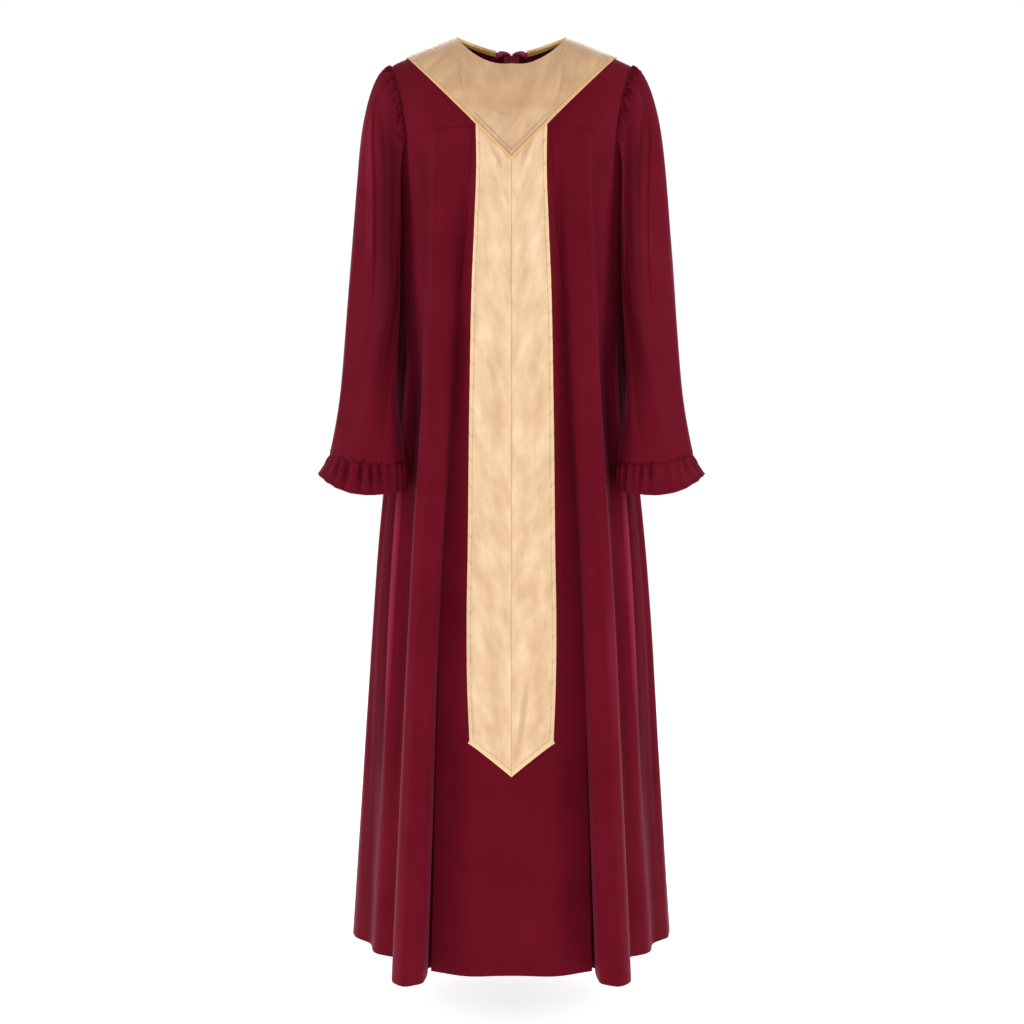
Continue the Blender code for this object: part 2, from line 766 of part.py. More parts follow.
def cutMesh(columns, side, centre=0):
    # Points and triangles of columns that end early: a place given twice is one point
    points = []
    index = []
    for column in columns:
        ids = []
        for k, place in enumerate(column):
            if k == 0 or place != column[k - 1]:
                points.append(robePoint(*place, side))
            ids.append(len(points) - 1)
        index.append(ids)
    flat = [index[c][r] for r in range(len(columns[0])) for c in range(len(columns))]
    faces = []
    for face in gridFaces(len(columns[0]), len(columns), centre=centre):
        face = tuple(flat[i] for i in face)
        if len(set(face)) == 3:
            faces.append(face)
    return np.array(points), faces


def cornerBend(x):
    return cornerLift * smooth((abs(x) - cornerBendX[0]) / (cornerBendX[1] - cornerBendX[0]))


def collarLift(points):
    # The collar's height above the yoke: more where the top of the stole lies under it, and
    # where its corner bends over the shoulder
    lift = []
    for x, _, z in points:
        beside = smooth((stoleUnderX[1] - abs(x)) / (stoleUnderX[1] - stoleUnderX[0]))
        rise = z - collarTipZ
        below = smooth((stoleUnderRise[1] - rise) / (stoleUnderRise[1] - stoleUnderRise[0]))
        lift.append((satinWall + layGap) * (1 + beside * below) + cornerBend(x))
    return np.array(lift)


def collars(finish):
    half = collarColumns(-1)
    both = [[(-x, down) for x, down in column] for column in half[:0:-1]] + half
    points, faces = cutMesh(both, -1, centre=len(half) - 1)
    points[:, 1] = np.minimum(points[:, 1], ridgeY - seamHalf)
    lift = collarLift(points)
    clothWalls("collar_front", points, faces, satinWall, finish, lift=lift, ridge=True)
    back = collarColumns(1)[:0:-1]
    points, faces = cutMesh(back, 1)
    points[:, 1] = np.maximum(points[:, 1], ridgeY + seamHalf)
    bent = np.array([cornerBend(x) for x in points[:, 0]])
    how = {"lift": satinWall + layGap + bent, "ridge": True}
    clothWalls("collar_back_right", points, faces, satinWall, finish, **how)
    clothWalls("collar_back_left", points, faces, satinWall, finish, mirrored=True, **how)


# Stole

def stoleHalfWidth(z):
    return through(z, [w["z"] for w in widths], [w["halfWidth"] for w in widths])


def stoleHeights(share):
    # Heights down one column: from the tucked top, past the yoke seam, to the pointed end
    top = collarTipZ + tuck + stoleTopRise * share
    end = stolePointZ + stoleCornerRise * share
    start = frontSeamZ - stoleTopDepth
    heights = [top + (start - top) * k / stoleTopRows for k in range(stoleTopRows)]
    panel = [skirtHeight(frontSeamZ, r) for r in range(1, skirtRows)]
    panel = [z for z in panel if start > z > stolePointZ + 2 * stoleCornerRise]
    return heights + panel + [(panel[-1] + end) / 2, end]


def stoles(finish):
    columns = []
    for c in range(stoleColumns + 1):
        share = c / stoleColumns
        column = []
        for z in stoleHeights(share):
            x = stoleHalfWidth(z) * share
            column.append(robePoint(x, turnAtHeight(x, z, -1), -1))
        columns.append(column)
    grid = np.array(columns).transpose(1, 0, 2)
    mirroredPair("stole", grid, satinWall, finish, lift=satinWall + layGap, clear=seamHalf)


# Neck band and zip

def backStrip(innerX, outerX, steps, fromTurn, toZ):
    rows = []
    for r in range(zipRows + 1):
        row = []
        for c in range(steps + 1):
            x = outerX + (innerX - outerX) * c / steps
            end = turnAtHeight(x, toZ, 1)
            row.append(robePoint(x, fromTurn + (end - fromTurn) * (r / zipRows) ** zipRowSpread, 1))
        rows.append(row)
    return np.array(rows)


def neckBand(finish):
    # Lies inside the back yoke, along its neck edge
    grid = yokeHalf(1, zipGap)[:2, 1 : neckSteps + 1][:, ::-1]
    way = grid[1] - grid[0]
    way = way / np.linalg.norm(way, axis=1)[:, None] * neckBandHeight
    rows = np.array([grid[0] + way * k / 2 for k in range(3)])
    mirroredPair("neck_band", trimmed(rows, ("first",)), neckBandWall, finish, lift=-clothWall - layGap)


def zipFrame():
    # Place and axes at the slider: across, outwards from the back, and down along it
    _, turn = neckPoint(0.0, 1)
    edge = archPoint(0.0, turn, 1)
    mid = bisect(0.0, turn, lambda t: np.linalg.norm(archPoint(0.0, t, 1) - edge) > sliderDown)
    place = archPoint(0.0, mid, 1)
    down = archPoint(0.0, mid - 0.01, 1) - archPoint(0.0, mid + 0.01, 1)
    down = Vector(down).normalized()
    across = Vector((1, 0, 0))
    out = down.cross(across)
    out = out if out.y > 0 else -out
    tape = Vector(place) - out * (clothWall + tapeGap)
    return tape, across, out, down


def zipTapes(finish):
    _, turn = neckPoint(0.0, 1)
    grid = backStrip(tapeInner, tapeOuter, 2, turn, zipEndZ - tapeRunOn)
    stand = []
    for row in range(2, 0, -1):
        rise = grid[0] - grid[1]
        rise = rise / np.linalg.norm(rise, axis=1)[:, None]
        stand.append(grid[0] + rise * tapeStand * row / 2)
    grid = np.concatenate([np.array(stand), grid])
    mirroredPair("zip_tape", grid, tapeWall, finish, lift=-clothWall - tapeGap)


def prism(name, outline, low, high, matrix, finish):
    # An outline in the first two axes, from low to high along the third
    made = bmesh.new()
    lower = [made.verts.new((a, b, low)) for a, b in outline]
    upper = [made.verts.new((a, b, high)) for a, b in outline]
    made.faces.new(lower[::-1])
    made.faces.new(upper)
    for k in range(len(outline)):
        n = (k + 1) % len(outline)
        made.faces.new((lower[k], lower[n], upper[n], upper[k]))
    made.transform(matrix)
    bmesh.ops.recalc_face_normals(made, faces=made.faces)
    mesh = bpy.data.meshes.new(name)
    made.to_mesh(mesh)
    made.free()
    mesh.materials.append(finish)
    body = bpy.data.objects.new(name, mesh)
    bpy.context.scene.collection.objects.link(body)
    return body


def combine(body, other, operation):
    step = body.modifiers.new(operation.lower(), "BOOLEAN")
    step.operation = operation
    step.object = other
    step.solver = "EXACT"
    other.hide_render = True
    other.display_type = "WIRE"


def axes(first, second, third, place):
    matrix = Matrix((first, second, third)).transposed().to_4x4()
    matrix.translation = place
    return matrix


def zipSlider(finish):
    place, across, out, down = zipFrame()
    upper = runGap + sliderPlate
    lower = -tapeWall - runGap - sliderPlate
    outline = [
        (-sliderHalfWidth, runGap), (-sliderHalfWidth, upper),
        (sliderHalfWidth, upper), (sliderHalfWidth, runGap),
        (sliderWeb, runGap), (sliderWeb, -tapeWall - runGap),
        (sliderHalfWidth, -tapeWall - runGap), (sliderHalfWidth, lower),
        (-sliderHalfWidth, lower), (-sliderHalfWidth, -tapeWall - runGap),
        (-sliderWeb, -tapeWall - runGap), (-sliderWeb, runGap),
    ]
    frame = axes(across, out, down, place)
    body = prism("zip_slider", outline, -sliderHalfLength, sliderHalfLength, frame, finish)
    reach = bridgeInnerHalf + bridgeWall
    roof = upper + bridgeRoom
    foot = upper - bridgeRoot
    staple = [
        (-reach, foot), (-reach, roof + bridgeWall), (reach, roof + bridgeWall),
        (reach, foot), (bridgeInnerHalf, foot), (bridgeInnerHalf, roof),
        (-bridgeInnerHalf, roof), (-bridgeInnerHalf, foot),
    ]
    turned = axes(down, out, across, place)
    bridge = prism("bridge_guide", staple, -bridgeHalfWidth, bridgeHalfWidth, turned, finish)
    combine(body, bridge, "UNION")


def zipPull(finish):
    place, across, out, down = zipFrame()
    axis = place + out * (runGap + sliderPlate + bridgeRoom / 2)
    narrow = pullHalfWidth * pullNeck
    neckEnd, wideStart = (pullEyeLength + more for more in pullNeckEnds)
    edge = [
        (narrow, -pullBar), (narrow, neckEnd), (pullHalfWidth, wideStart),
        (pullHalfWidth, pullLength - pullCorner), (pullHalfWidth - pullCorner, pullLength),
    ]
    outline = edge + [(-x, y) for x, y in edge[::-1]]
    turned = axes(across, down, out, Vector((0, 0, 0)))
    half = pullWall / 2
    body = prism("zip_pull", outline, -half, half, turned, finish)
    eye = [
        (-pullEyeHalfWidth, pullBar), (pullEyeHalfWidth, pullBar),
        (pullEyeHalfWidth, pullEyeLength), (-pullEyeHalfWidth, pullEyeLength),
    ]
    hole = prism("eye_guide", eye, -2 * half, 2 * half, turned, finish)
    body.location = axis
    hole.location = axis
    combine(body, hole, "DIFFERENCE")


maroon = material("maroon_cloth", maroonCloth, 0.42)
collarGold = material("collar_satin", goldCollar, 0.38)
stoleGold = material("stole_satin", goldStole, 0.36)
bandGold = material("band_satin", goldBand, 0.40)
tapeMaroon = material("zip_tape", zipCloth, 0.70)
sliderMaroon = material("zip_metal", zipMetal, 0.35, 0.4)

frontYoke(maroon)
backYokes(maroon)
frontPanel(maroon)
backPanels(maroon)
sleeve(maroon)
ruffle(maroon)
collars(collarGold)
stoles(stoleGold)
neckBand(bandGold)
zipTapes(tapeMaroon)
zipSlider(sliderMaroon)
zipPull(sliderMaroon)
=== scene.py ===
import json
import math

import bmesh
import bpy
import numpy as np
from mathutils import Vector
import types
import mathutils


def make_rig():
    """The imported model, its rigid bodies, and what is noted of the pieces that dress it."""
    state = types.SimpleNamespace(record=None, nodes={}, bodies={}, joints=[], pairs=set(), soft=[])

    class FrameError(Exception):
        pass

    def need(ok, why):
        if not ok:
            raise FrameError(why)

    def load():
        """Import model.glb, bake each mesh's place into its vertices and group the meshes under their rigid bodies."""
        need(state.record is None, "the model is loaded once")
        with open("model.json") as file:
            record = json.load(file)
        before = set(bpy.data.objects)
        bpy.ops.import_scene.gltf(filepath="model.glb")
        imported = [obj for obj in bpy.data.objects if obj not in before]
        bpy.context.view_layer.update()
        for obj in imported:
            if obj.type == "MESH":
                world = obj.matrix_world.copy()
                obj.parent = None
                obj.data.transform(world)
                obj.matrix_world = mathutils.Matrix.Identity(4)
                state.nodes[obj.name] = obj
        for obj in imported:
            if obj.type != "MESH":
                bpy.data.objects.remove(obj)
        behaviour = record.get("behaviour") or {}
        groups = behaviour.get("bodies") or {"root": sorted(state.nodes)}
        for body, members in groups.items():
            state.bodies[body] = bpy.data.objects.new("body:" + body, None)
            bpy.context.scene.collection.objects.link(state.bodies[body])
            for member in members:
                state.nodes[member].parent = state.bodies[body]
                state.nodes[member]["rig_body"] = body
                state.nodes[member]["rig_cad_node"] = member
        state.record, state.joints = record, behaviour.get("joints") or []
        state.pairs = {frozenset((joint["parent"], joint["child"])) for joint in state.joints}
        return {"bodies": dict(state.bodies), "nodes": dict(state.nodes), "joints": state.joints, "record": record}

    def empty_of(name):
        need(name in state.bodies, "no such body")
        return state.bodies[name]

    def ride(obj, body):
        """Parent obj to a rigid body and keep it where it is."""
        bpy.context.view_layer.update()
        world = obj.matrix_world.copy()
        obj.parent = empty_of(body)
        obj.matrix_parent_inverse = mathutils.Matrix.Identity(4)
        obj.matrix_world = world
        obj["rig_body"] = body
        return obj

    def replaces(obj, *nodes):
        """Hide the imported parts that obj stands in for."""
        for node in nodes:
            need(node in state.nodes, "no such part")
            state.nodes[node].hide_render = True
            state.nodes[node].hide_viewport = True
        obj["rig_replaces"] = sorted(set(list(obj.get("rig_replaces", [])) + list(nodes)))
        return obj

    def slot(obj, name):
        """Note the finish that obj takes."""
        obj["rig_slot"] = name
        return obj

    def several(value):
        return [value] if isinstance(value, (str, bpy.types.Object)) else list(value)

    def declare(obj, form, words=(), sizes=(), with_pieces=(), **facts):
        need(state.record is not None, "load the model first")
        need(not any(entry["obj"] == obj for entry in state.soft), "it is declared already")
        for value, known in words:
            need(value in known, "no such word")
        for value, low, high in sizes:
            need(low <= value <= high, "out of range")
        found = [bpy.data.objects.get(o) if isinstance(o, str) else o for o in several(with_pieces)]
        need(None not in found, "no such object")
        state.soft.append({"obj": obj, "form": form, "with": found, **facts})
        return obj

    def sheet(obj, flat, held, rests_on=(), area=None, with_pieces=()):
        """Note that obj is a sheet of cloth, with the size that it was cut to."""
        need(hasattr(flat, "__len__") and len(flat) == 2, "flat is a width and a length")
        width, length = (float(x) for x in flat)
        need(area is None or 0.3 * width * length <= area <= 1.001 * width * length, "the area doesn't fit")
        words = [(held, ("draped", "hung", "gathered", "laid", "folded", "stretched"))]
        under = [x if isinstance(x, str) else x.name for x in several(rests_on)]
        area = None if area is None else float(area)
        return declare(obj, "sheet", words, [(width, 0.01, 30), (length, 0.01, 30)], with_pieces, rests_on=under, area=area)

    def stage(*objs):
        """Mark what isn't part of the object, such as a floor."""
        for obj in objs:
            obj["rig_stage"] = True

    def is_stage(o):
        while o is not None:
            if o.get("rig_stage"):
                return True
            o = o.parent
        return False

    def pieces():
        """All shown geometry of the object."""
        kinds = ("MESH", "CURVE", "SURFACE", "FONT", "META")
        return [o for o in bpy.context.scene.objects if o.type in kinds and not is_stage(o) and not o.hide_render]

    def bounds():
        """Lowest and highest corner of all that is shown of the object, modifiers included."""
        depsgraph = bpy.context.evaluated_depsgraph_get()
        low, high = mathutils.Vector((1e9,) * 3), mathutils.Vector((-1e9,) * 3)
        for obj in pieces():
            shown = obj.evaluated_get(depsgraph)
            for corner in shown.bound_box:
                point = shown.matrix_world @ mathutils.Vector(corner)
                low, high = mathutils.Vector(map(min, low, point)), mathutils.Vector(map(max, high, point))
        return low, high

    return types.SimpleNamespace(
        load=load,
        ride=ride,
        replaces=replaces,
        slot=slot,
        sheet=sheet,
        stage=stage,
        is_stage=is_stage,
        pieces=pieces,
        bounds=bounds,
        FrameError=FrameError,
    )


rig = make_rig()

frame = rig.load()
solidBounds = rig.bounds()
quarter, circle = math.pi / 2, 2 * math.pi

# the robe's form, in metres: the same values as its solids

yoke = {
    "neckPointZ": 0.025, "ridgeY": 0.005, "neckHalfWidth": 0.0805,
    "neckFrontReach": 0.075, "neckBackReach": 0.045, "neckFrontPower": 2.7,
    "shoulderHalfWidth": 0.180, "shoulderRise": 0.0192, "shoulderFall": 0.653, "shoulderPower": 1.4,
    "chestHalfWidth": 0.187, "chestReach": 0.117, "backReach": 0.115, "planPower": 2.6,
    "archPowers": (1.41, 0.59), "archPowerX": 0.095,
    "frontSeamZ": -0.1115, "frontSeamEndZ": -0.131, "frontSeamPower": 3.8, "backSeamZ": -0.135,
    "frontArmX": 0.154, "backArmX": 0.158, "armholeSpread": 1.5,
}
skirt = {
    "underarmZ": -0.190, "armholeCurve": 0.62, "elbowZ": -0.425, "kneeZ": -0.775, "hemZ": -1.352,
    "sideRib": 10, "frontArmRib": 7, "backArmRib": 13, "lastRib": 20,
    # topX elbowX elbowY kneeX kneeY hemX hemY, from the centre front round to the centre back
    "ribs": [
        (0.000, 0.0000, -0.151, 0.0000, -0.186, 0.0000, -0.221),
        (0.046, 0.0620, -0.150, 0.0680, -0.184, 0.0780, -0.218),
        (0.062, 0.0740, -0.126, 0.0950, -0.152, 0.1150, -0.184),
        (0.080, 0.0880, -0.146, 0.1100, -0.192, 0.1360, -0.260),
        (0.096, 0.1060, -0.157, 0.1270, -0.204, 0.1540, -0.270),
        (0.112, 0.1235, -0.148, 0.1425, -0.192, 0.1670, -0.256),
        (0.132, 0.1320, -0.118, 0.1480, -0.124, 0.1760, -0.134),
        (0.154, 0.1510, -0.078, 0.1730, -0.087, 0.2050, -0.112),
        (0.170, 0.1650, -0.052, 0.1925, -0.056, 0.2215, -0.060),
        (0.181, 0.1755, -0.024, 0.2050, -0.026, 0.2410, -0.028),
        (0.187, 0.1790, 0.008, 0.2075, 0.010, 0.2490, 0.011),
        (0.181, 0.1750, 0.042, 0.2030, 0.052, 0.2430, 0.062),
        (0.171, 0.1640, 0.066, 0.1880, 0.078, 0.2220, 0.092),
        (0.158, 0.1520, 0.098, 0.1720, 0.122, 0.2020, 0.158),
        (0.136, 0.1390, 0.123, 0.1560, 0.160, 0.1840, 0.210),
        (0.112, 0.1180, 0.127, 0.1310, 0.166, 0.1520, 0.219),
        (0.090, 0.0980, 0.106, 0.1100, 0.134, 0.1280, 0.170),
        (0.066, 0.0760, 0.130, 0.0860, 0.168, 0.1000, 0.216),
        (0.040, 0.0480, 0.134, 0.0520, 0.173, 0.0580, 0.222),
        (0.018, 0.0230, 0.128, 0.0250, 0.163, 0.0290, 0.206),
        (0.000, 0.0000, 0.127, 0.0000, 0.161, 0.0000, 0.203),
    ],
}
sleeve = {
    "armholeTurns": (0.3, 0.5, 0.7), "seam": 0.0008, "cuffOuterRise": 0.011, "cuffRisePower": 3, "foldFade": 0.7,
    "headOut": (0.35, 0.50), "headForward": -0.22, "headDown": (-0.95, 0.80),
    "headLead": 0.60, "headFall": 0.90, "ringStep": 0.01,
    # z outerX innerX midY halfDepth lean bend
    "rings": [
        (-0.210, 0.2355, 0.1905, -0.005, 0.085, 0.10, 5.5),
        (-0.375, 0.2470, 0.1835, -0.036, 0.077, 0.22, 4.6),
        (-0.525, 0.2565, 0.1690, -0.092, 0.064, 0.16, 1.5),
        (-0.604, 0.2680, 0.1560, -0.127, 0.055, 0.10, 0.0),
    ],
    # topTurn endTurn width depth fromZ toZ
    "folds": [
        (0.105, 0.135, 0.030, -0.0060, -0.070, -0.460),
        (0.045, 0.050, 0.030, 0.0040, -0.120, -0.560),
        (0.185, 0.215, 0.035, 0.0045, -0.160, -0.600),
        (0.290, 0.270, 0.032, -0.0055, -0.230, -0.600),
        (0.400, 0.350, 0.034, 0.0040, -0.300, -0.600),
        (0.900, 0.880, 0.034, -0.0060, -0.090, -0.520),
        (0.800, 0.790, 0.036, 0.0050, -0.150, -0.590),
        (0.700, 0.700, 0.034, -0.0050, -0.240, -0.600),
    ],
}
cloth = {"wall": 0.0011, "satinWall": 0.0012, "seamHalf": 0.0001, "layGap": 0.0009, "underScale": 10}


def smooth(share):
    share = np.clip(share, 0.0, 1.0)
    return share * share * (3 - 2 * share)


def bell(x, width):
    return np.exp(-((x / width) ** 2))


def hermite(s, start, lead, end, tail):
    # from start to end as s goes from 0 to 1, with the slopes lead and tail
    return (
        (2 * s**3 - 3 * s**2 + 1) * start + (s**3 - 2 * s**2 + s) * lead
        + (3 * s**2 - 2 * s**3) * end + (s**3 - s**2) * tail
    )


def through(at, places, values):
    # a smooth curve through values given at places
    places, values = np.asarray(places, float), np.asarray(values, float)
    if places[0] > places[-1]:
        places, values = places[::-1], values[::-1]
    at = np.clip(at, places[0], places[-1])
    k = np.clip(np.searchsorted(places, at, side="right") - 1, 0, len(places) - 2)
    steps = np.diff(places)
    rates = np.diff(values) / steps
    inner = (rates[:-1] * steps[1:] + rates[1:] * steps[:-1]) / (steps[1:] + steps[:-1])
    slopes = np.concatenate([rates[:1], inner, rates[-1:]])
    s = (at - places[k]) / steps[k]
    return hermite(s, values[k], steps[k] * slopes[k], values[k + 1], steps[k] * slopes[k + 1])


def bisect(low, high, rises):
    low, high = np.broadcast_arrays(np.asarray(low, float), np.asarray(high, float))
    for _ in range(30):
        middle = (low + high) / 2
        up = rises(middle)
        low, high = np.where(up, middle, low), np.where(up, high, middle)
    return (low + high) / 2


def stack(x, y, z):
    return np.stack(np.broadcast_arrays(x, y, z), axis=-1)


def shoulderZ(x):
    return yoke["neckPointZ"] + yoke["shoulderRise"] - yoke["shoulderFall"] * np.abs(x) ** yoke["shoulderPower"]


def seamZ(x, side):
    if side > 0:
        return np.full(np.shape(x), yoke["backSeamZ"])
    share = np.minimum(np.abs(x) / yoke["frontArmX"], 1.0)
    return yoke["frontSeamZ"] + (yoke["frontSeamEndZ"] - yoke["frontSeamZ"]) * share ** yoke["frontSeamPower"]


def planReach(x, side):
    share = np.minimum(np.abs(x) / yoke["chestHalfWidth"], 1.0)
    reach = yoke["backReach"] if side > 0 else yoke["chestReach"]
    return reach * (1 - share ** yoke["planPower"]) ** (1 / yoke["planPower"])


def archPoint(x, turn, side):
    # turn 0 is the yoke seam and a quarter turn the shoulder ridge; side is -1 in front
    first, gain = yoke["archPowers"]
    power = 2 / (first + gain * np.minimum(np.abs(x) / yoke["archPowerX"], 1.0) ** 2)
    base = seamZ(x, side)
    across = planReach(x, side) * np.maximum(np.cos(turn), 0.0) ** power
    up = (shoulderZ(x) - base) * np.maximum(np.sin(turn), 0.0) ** power
    return stack(x, yoke["ridgeY"] + side * across, base + up)


def armholeX(turn, side):
    narrow = yoke["backArmX"] if side > 0 else yoke["frontArmX"]
    return narrow + (yoke["shoulderHalfWidth"] - narrow) * np.maximum(np.sin(turn), 0.0) ** yoke["armholeSpread"]


def neckPoint(angle, side):
    x = yoke["neckHalfWidth"] * np.sin(angle)
    if side > 0:
        reach = yoke["neckBackReach"] * np.cos(angle)
    else:
        power = yoke["neckFrontPower"]
        reach = yoke["neckFrontReach"] * (1 - np.minimum(np.sin(angle), 1.0) ** power) ** (1 / power)
    turn = bisect(0.0 * x, quarter, lambda t: np.abs(archPoint(x, t, side)[..., 1] - yoke["ridgeY"]) > reach)
    return x, turn


def ribSpots(z):
    spots = []
    for rib, (topX, elbowX, elbowY, kneeX, kneeY, hemX, hemY) in enumerate(skirt["ribs"]):
        side = -1 if rib <= skirt["sideRib"] else 1
        armX = yoke["backArmX"] if side > 0 else yoke["frontArmX"]
        top = float(seamZ(np.array(min(topX, armX)), side))
        topY = yoke["ridgeY"] + side * float(planReach(np.array(topX), side))
        places = [top, skirt["elbowZ"], skirt["kneeZ"], skirt["hemZ"]]
        spots.append(stack(
            through(z, places, [topX, elbowX, kneeX, hemX]),
            through(z, places, [topY, elbowY, kneeY, hemY]), z)[..., :2])
    flip = np.array([-1, 1])
    return np.array([spots[1] * flip, *spots, spots[-2] * flip, spots[-3] * flip])


def skirtPoint(way, z):
    # way counts the ribs from the centre front, 0, round to the centre back
    way, z = np.broadcast_arrays(np.asarray(way, float), np.asarray(z, float))
    spots = ribSpots(z)
    k = np.clip(way.astype(int), 0, skirt["lastRib"] - 1)
    s = (way - k)[..., None]
    near = [np.take_along_axis(spots, (k + i)[None, ..., None], 0)[0] for i in range(4)]
    gaps = [np.maximum(np.linalg.norm(near[i + 1] - near[i], axis=-1), 1e-6)[..., None] for i in range(3)]
    rates = [(near[i + 1] - near[i]) / gaps[i] for i in range(3)]
    lead = (rates[0] * gaps[1] + rates[1] * gaps[0]) / (gaps[0] + gaps[1])
    tail = (rates[1] * gaps[2] + rates[2] * gaps[1]) / (gaps[1] + gaps[2])
    spot = hermite(s, near[1], gaps[1] * lead, near[2], gaps[1] * tail)
    return stack(spot[..., 0], spot[..., 1], z)


def skirtTop(way):
    way = np.asarray(way, float)
    front, side, back = skirt["frontArmRib"], skirt["sideRib"], skirt["backArmRib"]

    def armhole(seam, share):
        return seam + (skirt["underarmZ"] - seam) * np.clip(share, 0, 1) ** skirt["armholeCurve"]

    seam = seamZ(skirtPoint(np.minimum(way, front), yoke["frontSeamZ"])[..., 0], -1)
    ahead = armhole(yoke["frontSeamEndZ"], (way - front) / (side - front))
    behind = armhole(yoke["backSeamZ"], (back - way) / (back - side))
    return np.select([way <= front, way <= side, way < back], [seam, ahead, behind], yoke["backSeamZ"])


def nearCentre(x, z, side):
    # the skirt at a given distance from the centre line, in front or behind
    last = skirt["lastRib"]
    if side < 0:
        way = bisect(0.0 * x, 2.0, lambda w: skirtPoint(w, z)[..., 0] < np.abs(x))
    else:
        way = bisect(last - 2.0 + 0.0 * x, last, lambda w: skirtPoint(w, z)[..., 0] > np.abs(x))
    return stack(x, skirtPoint(way, z)[..., 1], z)


def robePoint(x, down, side):
    # down is the arch's turn above the yoke seam, and negative below it
    x, down = np.broadcast_arrays(np.asarray(x, float), np.asarray(down, float))
    arch = archPoint(x, np.maximum(down, 0.0), side)
    under = nearCentre(x, seamZ(x, side) + np.minimum(down, 0.0) / cloth["underScale"], side)
    return np.where((down >= 0)[..., None], arch, under)


def turnAtHeight(x, z, side):
    x, z = np.broadcast_arrays(np.asarray(x, float), np.asarray(z, float))
    base = seamZ(x, side)
    above = bisect(0.0 * x, quarter, lambda t: archPoint(x, t, side)[..., 2] < z)
    return np.where(z < base, (z - base) * cloth["underScale"], above)


def armholePoint(around, depth=0.0):
    # 0 is the shoulder, one half the underarm, and the front comes first; depth leads in from the edge
    front, under, back = sleeve["armholeTurns"]
    turn = quarter * (1 - np.clip(around / front, 0, 1))
    ahead = archPoint(armholeX(turn, -1) - depth, turn, -1)
    turn = quarter * np.clip((around - back) / (1 - back), 0, 1)
    behind = archPoint(armholeX(turn, 1) - depth, turn, 1)
    way = np.interp(around, (front, under, back), (skirt["frontArmRib"], skirt["sideRib"], skirt["backArmRib"]))
    below = skirtPoint(way, skirtTop(way) - depth)
    around = np.asarray(around)[..., None]
    return np.where(around <= front, ahead, np.where(around >= back, behind, below))


def ringPoint(around, z):
    rings = np.array(sleeve["rings"])
    outer, inner, midY, depth, lean, bend = (through(z, rings[:, 0], rings[:, k]) for k in range(1, 7))
    angle = circle * around
    off = -depth * np.sin(angle)
    x = (outer + inner) / 2 + (outer - inner) / 2 * np.cos(angle) + lean * off - bend * off * off
    share = (rings[0, 0] - z) / (rings[0, 0] - rings[-1, 0])
    shift = 0.0 * angle
    for topTurn, endTurn, width, height, fromZ, toZ in sleeve["folds"]:
        along = np.clip((fromZ - z) / (fromZ - toZ), 0, 1)
        away = (around - topTurn - (endTurn - topTurn) * along + 0.5) % 1.0 - 0.5
        shift = shift + height * np.sin(math.pi * along) ** sleeve["foldFade"] * bell(away, width)
    rise = sleeve["cuffOuterRise"] * ((1 + np.cos(angle)) / 2) ** sleeve["cuffRisePower"] * np.maximum(share, 0) ** 3
    return stack(x + shift * np.cos(angle), midY + off - shift * np.sin(angle), z + rise)


def capPoint(around, s):
    angle = circle * around
    up = (1 + np.cos(angle)) / 2
    way = stack(
        sleeve["headOut"][0] + sleeve["headOut"][1] * up, sleeve["headForward"] * np.sin(angle),
        sleeve["headDown"][0] + sleeve["headDown"][1] * up)
    way = way / np.linalg.norm(way, axis=-1)[..., None]
    start = armholePoint(around) + way * sleeve["seam"]
    topZ = sleeve["rings"][0][0]
    end = ringPoint(around, topZ + 0.0 * around)
    fall = ringPoint(around, topZ - sleeve["ringStep"] + 0.0 * around) - end
    reach = np.linalg.norm(end - start, axis=-1)[..., None]
    tail = fall / np.linalg.norm(fall, axis=-1)[..., None] * sleeve["headFall"] * reach
    return hermite(np.asarray(s)[..., None], start, way * sleeve["headLead"] * reach, end, tail)


print("form ready")

# cloth meshes


def softNoise(u, v, seed):
    # hills and hollows between -1 and 1, about one for each unit of u and v, from a fixed seed
    size = 64
    table = np.random.default_rng(seed).uniform(-1, 1, (size, size))
    u, v = np.broadcast_arrays(u, v)
    i, j = np.floor(u).astype(int), np.floor(v).astype(int)
    a, b = smooth(u - i), smooth(v - j)
    near, far = (
        table[i % size, k % size] * (1 - a) + table[(i + 1) % size, k % size] * a for k in (j, j + 1))
    return near * (1 - b) + far * b


def sized(u, v, size, seed):
    return softNoise(u / size[0], v / size[1], seed)


def gridNormals(grid, around=False):
    down = np.gradient(grid, axis=0)
    if around:
        across = np.roll(grid, -1, 1) - np.roll(grid, 1, 1)
    else:
        across = np.gradient(grid, axis=1)
    normal = np.cross(down, across)
    length = np.linalg.norm(normal, axis=2)
    normal = normal / np.maximum(length, 1e-12)[..., None]
    for c in range(1, grid.shape[1]):  # a column that has shrunk to a point takes its neighbour's
        thin = length[:, c] < 1e-11
        normal[thin, c] = normal[thin, c - 1]
    return normal


def raised(grid, height, around=False):
    return grid + gridNormals(grid, around) * np.broadcast_to(height, grid.shape[:2])[..., None]


def lengths(grid, axis):
    # distance along the cloth from the first row or column
    steps = np.linalg.norm(np.diff(grid, axis=axis), axis=2)
    start = np.zeros_like(np.take(steps, [0], axis))
    return np.concatenate([start, np.cumsum(steps, axis=axis)], axis=axis)


def fromEnd(grid, axis):
    length = lengths(grid, axis)
    return np.take(length, [-1], axis) - length


